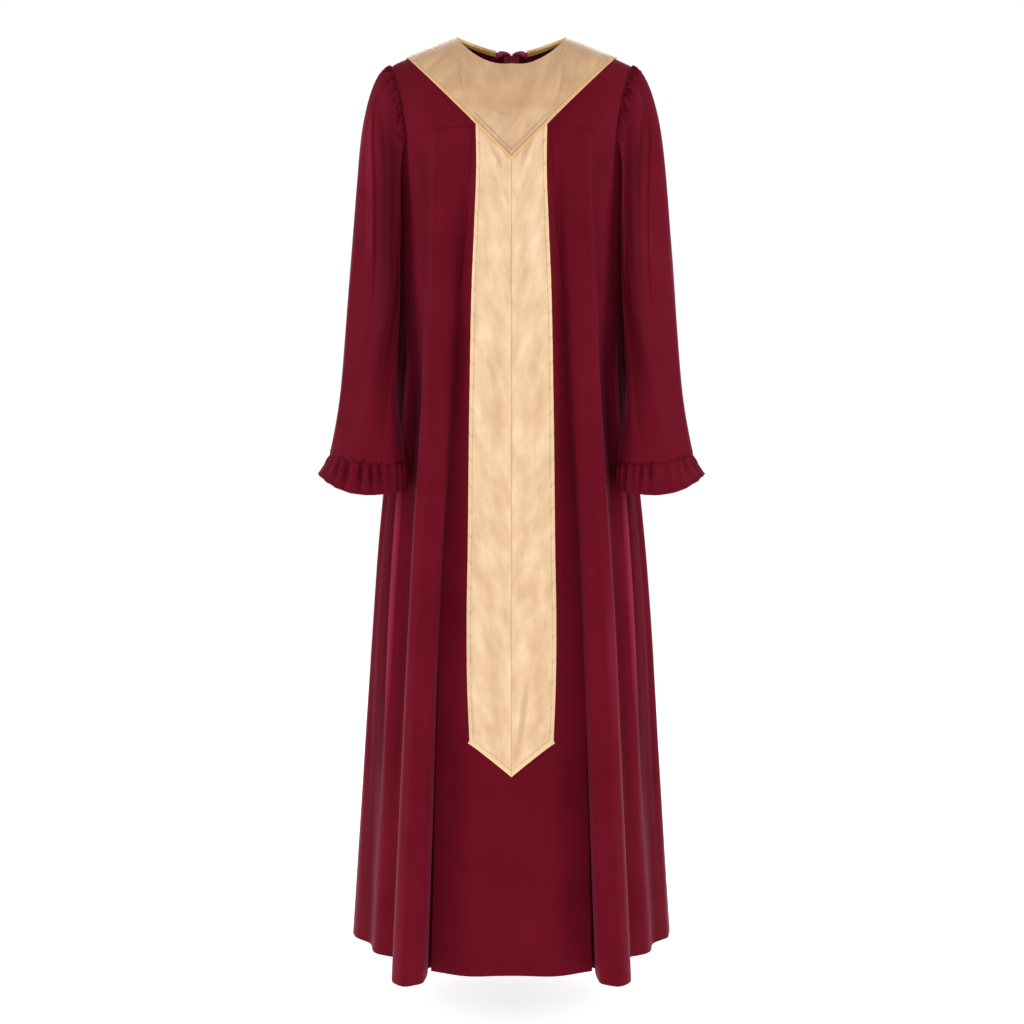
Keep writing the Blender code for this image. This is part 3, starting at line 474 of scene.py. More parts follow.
def respaced(grid, axis, first, last, count):
    # the same cloth with new rows or columns: close ones at the distances given from either edge,
    # and count even steps between them
    lines = grid if axis == 0 else grid.transpose(1, 0, 2)
    run = lengths(lines, 0)
    first, last = np.asarray(first), np.asarray(last)
    made = np.zeros((len(first) + count + 1 + len(last), lines.shape[1], 3))
    for c in range(lines.shape[1]):
        whole = max(run[-1, c], 1e-6)
        shrink = min(1.0, whole / (3 * (first[-1] + last[-1])))
        middle = np.linspace(first[-1] * shrink, whole - last[-1] * shrink, count + 3)[1:-1]
        at = np.concatenate([first * shrink, middle, whole - last[::-1] * shrink])
        for k in range(3):
            made[:, c, k] = np.interp(at, run[:, c] + 1e-9 * np.arange(len(run)), lines[:, c, k])
    return made if axis == 0 else made.transpose(1, 0, 2)


def edgeDistance(grid, edge):
    # from each point of the grid to the nearest point of an edge
    near = np.full(grid.shape[:2], 1.0)
    for point in edge:
        near = np.minimum(near, np.linalg.norm(grid - point, axis=2))
    return near


def tucked(grid, edge, reach, depth, around=False):
    # the cloth goes on beyond an edge, under its neighbour
    normal = gridNormals(grid, around)
    near, far = {
        "top": (np.s_[0, :], np.s_[2, :]), "bottom": (np.s_[-1, :], np.s_[-3, :]),
        "first": (np.s_[:, 0], np.s_[:, 2]), "last": (np.s_[:, -1], np.s_[:, -3]),
    }[edge]
    way = grid[near] - grid[far]
    way = way / np.maximum(np.linalg.norm(way, axis=1), 1e-9)[:, None]
    hidden = grid[near] + way * reach - normal[near] * depth
    fold = grid[near] + way * cloth["seamHalf"] - normal[near] * depth * 0.9
    added = {"top": (hidden, fold), "bottom": (fold, hidden), "first": (hidden, fold), "last": (fold, hidden)}[edge]
    axis = 0 if edge in ("top", "bottom") else 1
    both = np.stack(added, axis)
    return np.concatenate([both, grid] if edge in ("top", "first") else [grid, both], axis)


def placed(name, data):
    made = bpy.data.objects.new(name, data)
    bpy.context.scene.collection.objects.link(made)
    return made


def clothMesh(name, grid, wall, around=False, marks=None):
    rows, columns = grid.shape[:2]
    inner = grid - gridNormals(grid, around) * wall
    count = rows * columns
    r = np.arange(rows - 1)[:, None]
    c = np.arange(columns if around else columns - 1)[None, :]
    n = (c + 1) % columns
    a, b, d, e = r * columns + c, (r + 1) * columns + c, (r + 1) * columns + n, r * columns + n
    quads = [np.stack([a, b, d, e], -1).reshape(-1, 4)]
    quads.append(quads[0][:, ::-1] + count)
    edges = [(b[-1], d[-1]), (e[0], a[0])]
    if not around:
        edges += [(a[:, 0], b[:, 0]), (d[:, -1], e[:, -1])]
    for p, q in edges:
        quads.append(np.stack([q, p, p + count, q + count], -1).reshape(-1, 4))
    mesh = bpy.data.meshes.new(name)
    both = np.concatenate([grid.reshape(-1, 3), inner.reshape(-1, 3)])
    mesh.from_pydata(both.tolist(), [], np.concatenate(quads).tolist())
    across = np.tile(lengths(grid, 1).ravel(), 2)
    down = np.tile(lengths(grid, 0).ravel(), 2)
    index = np.zeros(len(mesh.loops), dtype=np.int32)
    mesh.loops.foreach_get("vertex_index", index)
    layer = mesh.uv_layers.new(name="cloth")
    layer.data.foreach_set("uv", np.stack([across[index], down[index]], -1).ravel())
    for key, values in (marks or {}).items():
        mark = mesh.attributes.new(key, "FLOAT", "POINT")
        values = np.broadcast_to(values, grid.shape[:2]).ravel()
        mark.data.foreach_set("value", np.tile(values, 2).astype(np.float32))
    mesh.shade_smooth()
    mesh.set_sharp_from_angle(angle=math.radians(70))
    mesh.validate()
    return mesh


def mirrored(grid):
    return grid[:, ::-1] * np.array([-1, 1, 1])


def bothHalves(left, right):
    return np.concatenate([mirrored(left)[:, :-1], right], axis=1)


def clothPiece(node, slot, grid, sheet, marks, around=False, mirror=False):
    # mirror makes the left one of two from the right one's grid
    if mirror:
        grid = mirrored(grid)
        marks = {key: values[:, ::-1] for key, values in marks.items()}
    finish, wall = cloths[slot]
    piece = placed(node + "_cloth", clothMesh(node + "_cloth", grid, wall, around, marks))
    piece.data.materials.append(finish)
    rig.ride(piece, "robe")
    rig.replaces(piece, node)
    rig.slot(piece, slot)
    across, down = lengths(grid, 1)[:, -1].max(), lengths(grid, 0)[-1].max()
    half = sum(p.area for p in piece.data.polygons) / 2
    print(node, grid.shape[:2], f"width {across:.3f} length {down:.3f} area {half:.4f}")
    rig.sheet(piece, **sheet)


def creaseHeight(u, v, rows):
    # soft creases on the cloth in metres: each row is u and v at its start and end, bow, width, height
    height = np.zeros(np.broadcast_shapes(u.shape, v.shape))
    for u0, v0, u1, v1, bow, width, high in rows:
        length = math.hypot(u1 - u0, v1 - v0)
        alongU, alongV = (u1 - u0) / length, (v1 - v0) / length
        share = ((u - u0) * alongU + (v - v0) * alongV) / length
        rise = np.sin(math.pi * np.clip(share, 0, 1))
        height += high * rise**0.8 * bell(-(u - u0) * alongV + (v - v0) * alongU - bow * rise, width)
    return height


def foldHeight(u, z, rows):
    # long folds: each row is u at its top and end, bow, z of its top and end, the shares over which it
    # grows and dies, its width in u, its height, and its form: 0 is a soft fold, 1 a pleat that stands
    # over what lies at greater u, and -1 one that stands over what lies at smaller u
    pleatEdge = 0.12  # of its width
    height = np.zeros(np.broadcast_shapes(u.shape, z.shape))
    for top, end, bow, fromZ, toZ, grow, die, width, high, form in rows:
        share = (fromZ - z) / (fromZ - toZ)
        fade = smooth(share / grow) * smooth((1 - share) / die)
        off = u - top - (end - top) * share - bow * np.sin(math.pi * np.clip(share, 0, 1))
        if form:
            off = off * form
            height += high * fade * bell(np.minimum(off, 0), width) * (1 - smooth(off / (pleatEdge * width)))
        else:
            height += high * fade * bell(off, width)
    return height


def varied(rows, seed, columns, share):
    # the same folds on another side, each a little different
    dice = np.random.default_rng(seed)
    made = []
    for row in rows:
        row = list(row)
        for column in columns:
            row[column] *= 1 + share * dice.uniform(-1, 1)
        made.append(tuple(row))
    return made


def ringed(near, *distances):
    return np.unique(np.concatenate([near, *[np.atleast_1d(d) for d in distances]]))


# finishes


def feed(tree, node, given):
    # inputs by name: a value, a colour or another node's output
    for key, value in given.items():
        socket = node.inputs[key]
        if isinstance(value, bpy.types.NodeSocket):
            tree.links.new(value, socket)
        else:
            socket.default_value = (*value, 1.0) if socket.type == "RGBA" else value


def add(tree, kind, given, result, **traits):
    made = tree.nodes.new(kind)
    for key, value in traits.items():
        setattr(made, key, value)
    feed(tree, made, given)
    return made.outputs[result]


def noise(tree, source, scale, detail=3.0, rough=0.55, stretch=None):
    if stretch:
        source = add(tree, "ShaderNodeMapping", {"Vector": source, "Scale": stretch}, "Vector")
    given = {"Vector": source, "Scale": scale, "Detail": detail, "Roughness": rough}
    return add(tree, "ShaderNodeTexNoise", given, "Fac")


def threads(tree, source, pitch, direction):
    # ribs of thread across the cloth, one for each pitch
    given = {"Vector": source, "Scale": math.pi / 10 / pitch, "Distortion": 0.6, "Detail": 1.0}
    return add(tree, "ShaderNodeTexWave", given, "Fac", bands_direction=direction)


def mixed(tree, factor, first, second):
    a, b, result = 6, 7, 2  # the node's sockets for colours
    return add(tree, "ShaderNodeMix", {0: factor, a: first, b: second}, result, data_type="RGBA")


def times(tree, first, second):
    return add(tree, "ShaderNodeMath", {0: first, 1: second}, "Value", operation="MULTIPLY")


def ramp(tree, source, stops):
    colour = add(tree, "ShaderNodeValToRGB", {"Fac": source}, "Color")
    band = colour.node.color_ramp
    while len(band.elements) < len(stops):
        band.elements.new(0.5)
    for element, (at, shade) in zip(band.elements, stops, strict=True):
        element.position = at
        element.color = (*shade, 1.0)
    return colour


def spread(tree, source, low, high, fromLow=0.0, fromHigh=1.0):
    given = {"Value": source, "From Min": fromLow, "From Max": fromHigh, "To Min": low, "To Max": high}
    return add(tree, "ShaderNodeMapRange", given, "Result")


def bump(tree, source, distance, strength, under=None):
    given = {"Height": source, "Distance": distance, "Strength": strength}
    if under:
        given["Normal"] = under
    return add(tree, "ShaderNodeBump", given, "Normal")


def marked(tree, key):
    return add(tree, "ShaderNodeAttribute", {}, "Fac", attribute_name=key)


def painted(name, inputs):
    # a material whose shader takes the inputs made from its tree, its UV map and its place
    made = bpy.data.materials.new(name)
    made.use_nodes = True
    tree = made.node_tree
    place = tree.nodes.new("ShaderNodeTexCoord").outputs
    feed(tree, tree.nodes["Principled BSDF"], inputs(tree, place["UV"], place["Object"]))
    return made


crepe = {
    "valley": (0.114, 0.0042, 0.0116), "body": (0.135, 0.0054, 0.0148), "lit": (0.152, 0.0068, 0.0182),
    # the crest colour is a painted highlight for the tallest fold crests, and the colour after it is painted shade for
    # the fold hollows
    "crest": (0.300, 0.0280, 0.0620), "paintedShade": (0.050, 0.0024, 0.0066), "roughness": (0.44, 0.52),
    "thread": 0.00042,
    "shader": {
        "Sheen Weight": 0.14, "Sheen Roughness": 0.35, "Sheen Tint": (1.0, 0.20, 0.42),
        "Specular IOR Level": 0.02, "Specular Tint": (1.0, 0.28, 0.44),
    },
}


def crepeInputs(tree, uv, place):
    # a soft satin-backed crepe: even colour with a painted highlight on the tallest fold crests and painted shade in
    # the fold hollows, a fine crossed thread and a faint rib down the cloth
    cloud = noise(tree, place, 9.0, 4.0)
    colour = ramp(tree, cloud, [(0.25, crepe["valley"]), (0.5, crepe["body"]), (0.8, crepe["lit"])])
    # painted highlight where the fold mark is tallest, painted shade where it is deepest
    crest = spread(tree, marked(tree, "fold"), 0.0, 0.7, 0.0026, 0.0060)
    paintedShade = spread(tree, marked(tree, "fold"), 0.75, 0.0, -0.0060, -0.0003)
    weave = times(tree, threads(tree, uv, crepe["thread"], "X"), threads(tree, uv, crepe["thread"], "Y"))
    grain = noise(tree, uv, 2200.0, 2.0, 0.6, (1.0, 0.4, 1.0))
    soft = noise(tree, uv, 46.0, 3.0, 0.5, (1.0, 0.22, 1.0))
    normal = bump(tree, grain, 0.00005, 0.4, bump(tree, soft, 0.0008, 0.35))
    return {
        "Base Color": mixed(tree, paintedShade, mixed(tree, crest, colour, crepe["crest"]), crepe["paintedShade"]),
        "Roughness": spread(tree, soft, *crepe["roughness"]),
        "Normal": bump(tree, weave, 0.00005, 0.5, normal), **crepe["shader"]}


satin = {
    "roughness": (0.30, 0.44), "slub": 0.00030, "sewnShade": 0.5, "shadow": (0.72, 0.62, 0.52),
    "shader": {"Sheen Weight": 0.12, "Sheen Roughness": 0.3, "Specular IOR Level": 0.5},
    "collar": {"dark": (0.570, 0.345, 0.185), "body": (0.650, 0.400, 0.222), "lit": (0.740, 0.480, 0.285),
               "edge": (0.780, 0.460, 0.195)},
    "stole": {"dark": (0.690, 0.430, 0.235), "body": (0.805, 0.540, 0.315), "lit": (0.920, 0.680, 0.440),
              "edge": (0.900, 0.620, 0.340)},
    "band": {"dark": (0.640, 0.330, 0.080), "body": (0.930, 0.560, 0.160), "lit": (1.000, 0.740, 0.300),
             "edge": (0.850, 0.600, 0.200)},
}


def satinInputs(shades):
    def inputs(tree, uv, _):
        cloud = noise(tree, uv, 30.0, 4.0, 0.55, (1.0, 0.62, 1.0))
        colour = ramp(tree, cloud, [(0.30, shades["dark"]), (0.5, shades["body"]), (0.72, shades["lit"])])
        turned = spread(tree, marked(tree, "edge"), 0.75, 0.0, 0.88, 1.0)
        colour = mixed(tree, turned, colour, shades["edge"])
        # darker stitch lines, together with painted shade in the puckers beside the collar's ridges
        sewnAndShade = spread(tree, marked(tree, "sewnAndShade"), 0.0, 0.8)
        colour = mixed(tree, sewnAndShade, colour, tuple(satin["sewnShade"] * c for c in shades["dark"]))
        # painted shade in the crease and ruck hollows, towards the shadow colour
        paintedShade = spread(tree, marked(tree, "fold"), 0.42, 0.0, -0.0012, -0.0001)
        shadow = tuple(share * c for share, c in zip(satin["shadow"], shades["dark"], strict=True))
        crush = noise(tree, uv, 55.0, 4.0, 0.55, (1.0, 0.7, 1.0))
        normal = bump(tree, crush, 0.0014, 0.5)
        return {
            "Base Color": mixed(tree, paintedShade, colour, shadow),
            "Roughness": spread(tree, crush, *satin["roughness"]),
            "Normal": bump(tree, threads(tree, uv, satin["slub"], "Y"), 0.00004, 0.4, normal), **satin["shader"]}
    return inputs


def threadInputs(colour, roughness=0.45):
    # twisted sewing thread
    def inputs(tree, _, place):
        twist = noise(tree, place, 1400.0, 2.0, 0.5)
        dark = tuple(0.7 * c for c in colour)
        return {
            "Base Color": ramp(tree, twist, [(0.35, dark), (0.65, colour)]),
            "Normal": bump(tree, twist, 0.0001, 0.6), "Roughness": roughness}
    return inputs


def tapeInputs(tree, uv, _):
    # woven zip tape: a rib across it for each pitch
    rib = threads(tree, uv, 0.0007, "Y")
    both = times(tree, rib, noise(tree, uv, 900.0, 2.0))
    return {
        "Base Color": ramp(tree, both, [(0.1, (0.300, 0.012, 0.036)), (0.6, (0.620, 0.045, 0.120))]),
        "Normal": bump(tree, rib, 0.0002, 0.6), "Roughness": 0.6}


def metalInputs(tree, _, place):
    # red lacquer over die-cast metal, a little worn
    wear = noise(tree, place, 420.0, 4.0, 0.6)
    return {
        "Base Color": ramp(tree, wear, [(0.3, (0.260, 0.020, 0.050)), (0.7, (0.420, 0.050, 0.090))]),
        "Roughness": spread(tree, wear, 0.22, 0.42), "Normal": bump(tree, wear, 0.0002, 0.25),
        "Metallic": 0.4, "Coat Weight": 0.3}


# each slot's material and the thickness of its cloth
cloths = {
    "maroon_cloth": (painted("maroon_crepe", crepeInputs), cloth["wall"]),
    "collar_satin": (painted("collar_satin_gold", satinInputs(satin["collar"])), cloth["satinWall"]),
    "stole_satin": (painted("stole_satin_gold", satinInputs(satin["stole"])), cloth["satinWall"]),
    "band_satin": (painted("band_satin_gold", satinInputs(satin["band"])), 0.0009),
    "zip_tape": (painted("zip_tape_cloth", tapeInputs), 0.0008),
}
collarThread = painted("collar_thread", threadInputs((0.80, 0.56, 0.30)))
stoleThread = painted("stole_thread", threadInputs((0.96, 0.74, 0.46)))
toothPlastic = painted("zip_tooth_plastic", threadInputs((0.200, 0.010, 0.030), 0.3))
sliderLacquer = painted("zip_lacquer", metalInputs)
print("finishes ready")

# stitches and zip teeth, by Geometry Nodes along curves


def repeatTree(name, finish, tooth):
    # one shape at each pitch along the curves: a stitch, or a tooth that keeps its width sideways
    tree = bpy.data.node_groups.new(name, "GeometryNodeTree")
    sockets = tree.interface
    sockets.new_socket("Geometry", in_out="INPUT", socket_type="NodeSocketGeometry")
    for label in ("Pitch", "Length", "Width", "Height"):
        sockets.new_socket(label, in_out="INPUT", socket_type="NodeSocketFloat")
    sockets.new_socket("Geometry", in_out="OUTPUT", socket_type="NodeSocketGeometry")
    given = tree.nodes.new("NodeGroupInput").outputs
    points = add(tree, "GeometryNodeCurveToPoints", {"Curve": given["Geometry"], "Length": given["Pitch"]},
                 "Points", mode="LENGTH")
    size = add(tree, "ShaderNodeCombineXYZ",
               {"X": given["Width"], "Y": given["Height"], "Z": given["Length"]}, "Vector")
    if tooth:
        shape = add(tree, "GeometryNodeMeshCube", {}, "Mesh")
        turned = add(tree, "FunctionNodeAlignRotationToVector", {"Vector": points.node.outputs["Tangent"]},
                     "Rotation", axis="Z", pivot_axis="X")
    else:
        shape = add(tree, "GeometryNodeMeshUVSphere", {"Segments": 6, "Rings": 4, "Radius": 0.5}, "Mesh")
        turned = points.node.outputs["Rotation"]
    each = add(tree, "GeometryNodeInstanceOnPoints",
               {"Points": points, "Instance": shape, "Rotation": turned, "Scale": size}, "Instances")
    real = add(tree, "GeometryNodeRealizeInstances", {"Geometry": each}, "Geometry")
    paint = add(tree, "GeometryNodeSetMaterial", {"Geometry": real, "Material": finish}, "Geometry")
    feed(tree, tree.nodes.new("NodeGroupOutput"), {"Geometry": paint})
    return tree


def repeated(name, lines, finish, slot, sizes, tooth=False):
    curve = bpy.data.curves.new(name + "_path", "CURVE")
    curve.dimensions = "3D"
    for line in lines:
        spline = curve.splines.new("POLY")
        spline.points.add(len(line) - 1)
        spline.points.foreach_set("co", np.concatenate([line, np.ones((len(line), 1))], 1).ravel())
    path = placed(name + "_path", curve)
    tree = repeatTree(name + "_tree", finish, tooth)
    step = path.modifiers.new("repeat", "NODES")
    step.node_group = tree
    for item in tree.interface.items_tree:
        if item.in_out == "INPUT" and item.name in sizes:
            step[item.identifier] = sizes[item.name]
    bpy.context.view_layer.update()
    evaluated = path.evaluated_get(bpy.context.evaluated_depsgraph_get())
    mesh = bpy.data.meshes.new_from_object(evaluated)
    mesh.name = name
    path.modifiers.remove(step)
    bpy.data.objects.remove(path, do_unlink=True)
    bpy.data.node_groups.remove(tree)
    mesh.shade_smooth()
    piece = placed(name, mesh)
    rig.ride(piece, "robe")
    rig.slot(piece, slot)
    print(name, len(mesh.polygons), "faces")


def lineAt(grid, axis, distance):
    # a line on the cloth at a distance from its last row or column, lifted off it
    lines, normal = grid, gridNormals(grid)
    if axis:
        lines, normal = grid.transpose(1, 0, 2), normal.transpose(1, 0, 2)
    left = fromEnd(lines, 0)
    lines = (lines + normal * stitchLift)[::-1]
    return np.array([
        [np.interp(distance, left[::-1, c], lines[:, c, k]) for k in range(3)]
        for c in range(lines.shape[1]) if left[0, c] >= distance])


stitch = {"Pitch": 0.0030, "Length": 0.0021, "Width": 0.00042, "Height": 0.00042}
stitchLift = 0.00025

# yokes

yokeShow = {
    "neckColumns": 26, "shoulderColumns": 30, "rows": 30,
    "edgeTurns": (0.010, 0.020, 0.034, 0.055), "edgeShares": (0.0045, 0.0095, 0.016, 0.025),
    "seamDip": 0.0006, "dipReach": 0.0022, "ripple": 0.0004, "rippleSize": (0.03, 0.05), "calm": (0.02, 0.01),
    # u and v at start and end, bow, width, height: faint drag lines below the shoulder
    "drags": [
        (0.150, 0.035, 0.100, 0.120, 0.006, 0.010, 0.0006), (0.130, 0.020, 0.150, 0.115, 0.004, 0.008, -0.0005),
        (0.060, 0.060, 0.050, 0.130, 0.003, 0.012, 0.0004),
    ],
    "front": {"flat": (0.42, 0.19), "area": 0.054, "held": "stretched"},
    "back": {"flat": (0.21, 0.20), "area": 0.031, "held": "stretched"},
}


def yokeColumns(side, neckColumns, shoulderColumns, toX):
    # shares of the way to the armhole and the turn at which each column ends
    x, turn = neckPoint(np.linspace(0, quarter, neckColumns + 1)[:-1], side)
    start, last = yoke["neckHalfWidth"] / yoke["shoulderHalfWidth"], toX / yoke["shoulderHalfWidth"]
    more = ringed(np.linspace(start, last, shoulderColumns + 1), last - np.array(yokeShow["edgeShares"]))
    return np.concatenate([x / armholeX(turn, side), more]), np.concatenate([turn, np.full(len(more), quarter)])


def yokeHalf(side, centreX, seed):
    shares, ends = yokeColumns(
        side, yokeShow["neckColumns"], yokeShow["shoulderColumns"], yoke["shoulderHalfWidth"])
    rows = ringed(np.linspace(0, 1, yokeShow["rows"] + 1), np.array(yokeShow["edgeTurns"]))[::-1, None]
    turn = ends[None, :] * rows
    grid = archPoint(np.maximum(shares[None, :] * armholeX(turn, side), centreX), turn, side)
    near = np.minimum(fromEnd(grid, 0), fromEnd(grid, 1))
    u, v = lengths(grid, 1), lengths(grid, 0)
    height = -yokeShow["seamDip"] * bell(near, yokeShow["dipReach"])
    height = height + creaseHeight(u, v, varied(yokeShow["drags"], seed, (0, 2, 6), 0.2))
    flat = smooth(u / yokeShow["calm"][0]) * smooth(near / yokeShow["calm"][1])
    return grid, height + yokeShow["ripple"] * sized(u, v, yokeShow["rippleSize"], seed) * flat


def joined(left, right):
    # both halves of a front piece: its cloth raised by its folds, and their height
    height = np.concatenate([left[1][:, :0:-1], right[1]], axis=1)
    return raised(bothHalves(left[0], right[0]), height), height


grid, height = joined(yokeHalf(-1, 0.0, 3), yokeHalf(-1, 0.0, 4))
clothPiece("front_yoke", "maroon_cloth", grid, yokeShow["front"], {"fold": height})
zipper = {
    "endZ": -0.520, "gap": 0.0055, "close": 0.012, "tapeInner": 0.0012, "tapeOuter": 0.0120, "tapeColumns": 10,
    "tapeGap": 0.0007, "runOn": 0.006, "rows": 120, "spread": 1.6,
    "tape": {"flat": (0.0108, 0.56), "held": "hung"},
    "tooth": {"Pitch": 0.0013, "Length": 0.00075, "Width": 0.0030, "Height": 0.0011},
    "toothX": 0.0006, "toothLift": 0.0002, "firstTooth": 8,
}
for name, seed in (("right", 5), ("left", 6)):
    half, height = yokeHalf(1, zipper["gap"], seed)
    half, height = half[:, ::-1], height[:, ::-1]
    clothPiece("back_yoke_" + name, "maroon_cloth", raised(half, height), yokeShow["back"], {"fold": height},
               mirror=name == "left")
print("yokes ready")

# skirt panels

panel = {
    "columnsPerRib": 12, "rows": 128, "hem": 0.013, "hemDip": 0.0002, "hemWidth": 0.0012, "ribPitch": 0.020,
    "edgeRibs": (0.04, 0.09, 0.15, 0.23),
    "topRows": (0.0007, 0.0014, 0.0024, 0.0038), "hemRows": (0.0006, 0.0088, 0.0100, 0.0106, 0.0112, 0.0125),
    "seamDip": 0.0009, "dipReach": 0.0024, "tuckReach": 0.0035, "tuckDepth": 0.0017, "tuckShade": -0.002,
    "ripple": 0.0010, "calm": 0.012, "calmMiddle": (0.026, 0.02), "foldFade": 0.02,
    # uTop uEnd bow fromZ toZ grow die width height form
    "centre": [
        (1.78, 1.80, 0.00, -0.180, -1.420, 0.16, 0.02, 0.50, 0.0090, 1),
        (1.82, 1.84, 0.00, -0.420, -1.420, 0.35, 0.02, 0.50, 0.0085, 1),
    ],
    "frontFolds": [
        (5.00, 5.02, 0.00, -0.105, -1.420, 0.01, 0.02, 1.30, 0.0026, 1),
        (1.75, 2.30, 0.10, -0.110, -0.760, 0.02, 0.40, 0.90, 0.0022, -1),
        (6.90, 6.95, -0.05, -0.110, -0.560, 0.02, 0.40, 0.80, 0.0016, 1),
        (6.10, 6.20, 0.00, -0.112, -0.620, 0.10, 0.40, 0.85, -0.0028, 0),
        (2.08, 2.08, 0.05, -0.300, -1.420, 0.30, 0.02, 0.16, -0.0040, 0),
        (2.80, 2.85, 0.05, -0.420, -1.420, 0.30, 0.02, 0.55, 0.0022, -1),
        (5.75, 5.85, 0.00, -0.350, -1.420, 0.30, 0.02, 0.40, -0.0024, 0),
        (7.02, 7.00, 0.05, -0.350, -1.200, 0.20, 0.45, 0.28, 0.0068, 0),
        (6.45, 6.40, 0.00, -0.400, -1.250, 0.25, 0.30, 0.26, -0.0034, 0),
        (7.60, 7.55, 0.00, -0.400, -1.250, 0.25, 0.30, 0.26, -0.0042, 0),
        (8.75, 8.70, 0.00, -0.450, -1.300, 0.25, 0.30, 0.24, -0.0030, 0),
        (8.10, 8.00, 0.00, -0.300, -1.420, 0.30, 0.02, 0.45, -0.0030, 0),
        (3.90, 3.80, 0.10, -0.160, -0.900, 0.25, 0.50, 0.30, 0.0009, 0),
        (4.50, 4.40, -0.10, -0.130, -0.620, 0.20, 0.50, 0.28, -0.0008, 0),
        (6.10, 6.25, 0.05, -0.150, -0.700, 0.15, 0.50, 0.30, 0.0011, 0),
        (0.95, 0.62, 0.00, -1.060, -1.420, 0.60, 0.02, 0.28, 0.0011, 0),
        (0.30, 0.30, 0.05, -1.100, -1.420, 0.60, 0.02, 0.20, -0.0007, 0),
        (9.10, 9.00, 0.05, -0.260, -1.420, 0.30, 0.02, 0.35, 0.0016, 0),
    ],
    "backFolds": [
        (14.00, 14.00, 0.00, -0.120, -1.420, 0.01, 0.02, 1.20, 0.0024, -1),
        (16.05, 16.00, 0.00, -0.300, -1.420, 0.30, 0.02, 0.32, -0.0045, 0),
        (17.10, 17.00, 0.05, -0.130, -1.420, 0.02, 0.02, 0.90, 0.0018, -1),
        (18.95, 18.95, 0.00, -0.560, -1.420, 0.30, 0.02, 0.35, -0.0026, 0),
        (12.90, 13.00, 0.05, -0.260, -1.420, 0.30, 0.02, 0.40, -0.0028, 0),
        (11.10, 11.00, 0.05, -0.300, -1.420, 0.30, 0.02, 0.40, 0.0022, 0),
        (15.10, 15.20, -0.10, -0.180, -0.950, 0.20, 0.50, 0.30, 0.0010, 0),
        (18.10, 18.00, 0.05, -0.160, -0.640, 0.20, 0.50, 0.28, -0.0009, 0),
        (12.10, 12.15, 0.05, -0.240, -1.000, 0.20, 0.50, 0.30, 0.0012, 0),
    ],
    "front": {"flat": (0.98, 1.27), "area": 0.92, "held": "hung"},
    "back": {"flat": (0.50, 1.27), "area": 0.41, "held": "hung"},
}


def panelHalf(fromRib, toRib, folds, seed, edgeX=None):
    span = np.array(panel["edgeRibs"])
    ways = np.linspace(fromRib, toRib, (toRib - fromRib) * panel["columnsPerRib"] + 1)
    ways = ringed(ways, fromRib + span) if fromRib else ringed(ways, toRib - span)
    share = ringed(np.linspace(0, 1, panel["rows"] + 1), np.array(panel["topRows"]),
                   1 - np.array(panel["hemRows"]))[:, None]
    top = skirtTop(ways)[None, :]
    z = top + (skirt["hemZ"] - top) * share
    way = np.broadcast_to(ways[None, :], z.shape).copy()
    if edgeX:
        last = z[:, -1]
        edge = bisect(toRib - 2.0 + 0.0 * last, toRib, lambda w: skirtPoint(w, last)[..., 0] > edgeX(last))
        way = fromRib + (way - fromRib) * ((edge - fromRib) / (toRib - fromRib))[:, None]
    grid = skirtPoint(way, z)
    if fromRib == 0:
        grid = raised(grid, foldHeight(way, z, panel["centre"]))
    side = np.minimum(np.abs(way - skirt["sideRib"]) * panel["ribPitch"], 1.0)
    above = np.minimum(lengths(grid, 0), side)
    middle = (way if fromRib == 0 else skirt["lastRib"] - way) * panel["ribPitch"]
    fromMiddle, calmWidth = panel["calmMiddle"]
    height = foldHeight(way, z, varied(folds, seed, (7, 8), 0.18)) * smooth(side / panel["foldFade"])
    soft = softNoise(way / 0.7 + 0.4 * np.sin(z * 3), z / 0.22, seed + 20)
    calm = smooth(above / panel["calm"]) * smooth((middle - fromMiddle) / calmWidth)
    height = height + panel["ripple"] * soft * calm - panel["seamDip"] * bell(above, panel["dipReach"])
    return grid, height - panel["hemDip"] * bell(z - skirt["hemZ"] - panel["hem"], panel["hemWidth"])


def zipEdge(z):
    near = cloth["seamHalf"]
    return near + (zipper["gap"] - near) * smooth((z - zipper["endZ"] + zipper["close"]) / zipper["close"])


left, right = (panelHalf(0, skirt["sideRib"], panel["frontFolds"], seed) for seed in (11, 12))
left[1][:, 0] = right[1][:, 0]
grid, height = joined(left, right)
# the tucked rows take painted shade
clothPiece("front_panel", "maroon_cloth", tucked(grid, "top", panel["tuckReach"], panel["tuckDepth"]),
           panel["front"], {"fold": np.pad(height, ((2, 0), (0, 0)), constant_values=panel["tuckShade"])})
for name, seed in (("right", 13), ("left", 14)):
    half, height = panelHalf(skirt["sideRib"], skirt["lastRib"], panel["backFolds"], seed, zipEdge)
    half = raised(half, height)
    for edge in ("top", "first"):
        half = tucked(half, edge, panel["tuckReach"], panel["tuckDepth"])
    half[..., 0] = np.maximum(half[..., 0], cloth["seamHalf"])
    # the tucked rows take painted shade
    height = np.pad(height, ((2, 0), (2, 0)), constant_values=panel["tuckShade"])
    clothPiece("back_panel_" + name, "maroon_cloth", half, panel["back"], {"fold": height}, mirror=name == "left")
print("skirt ready")

# sleeves

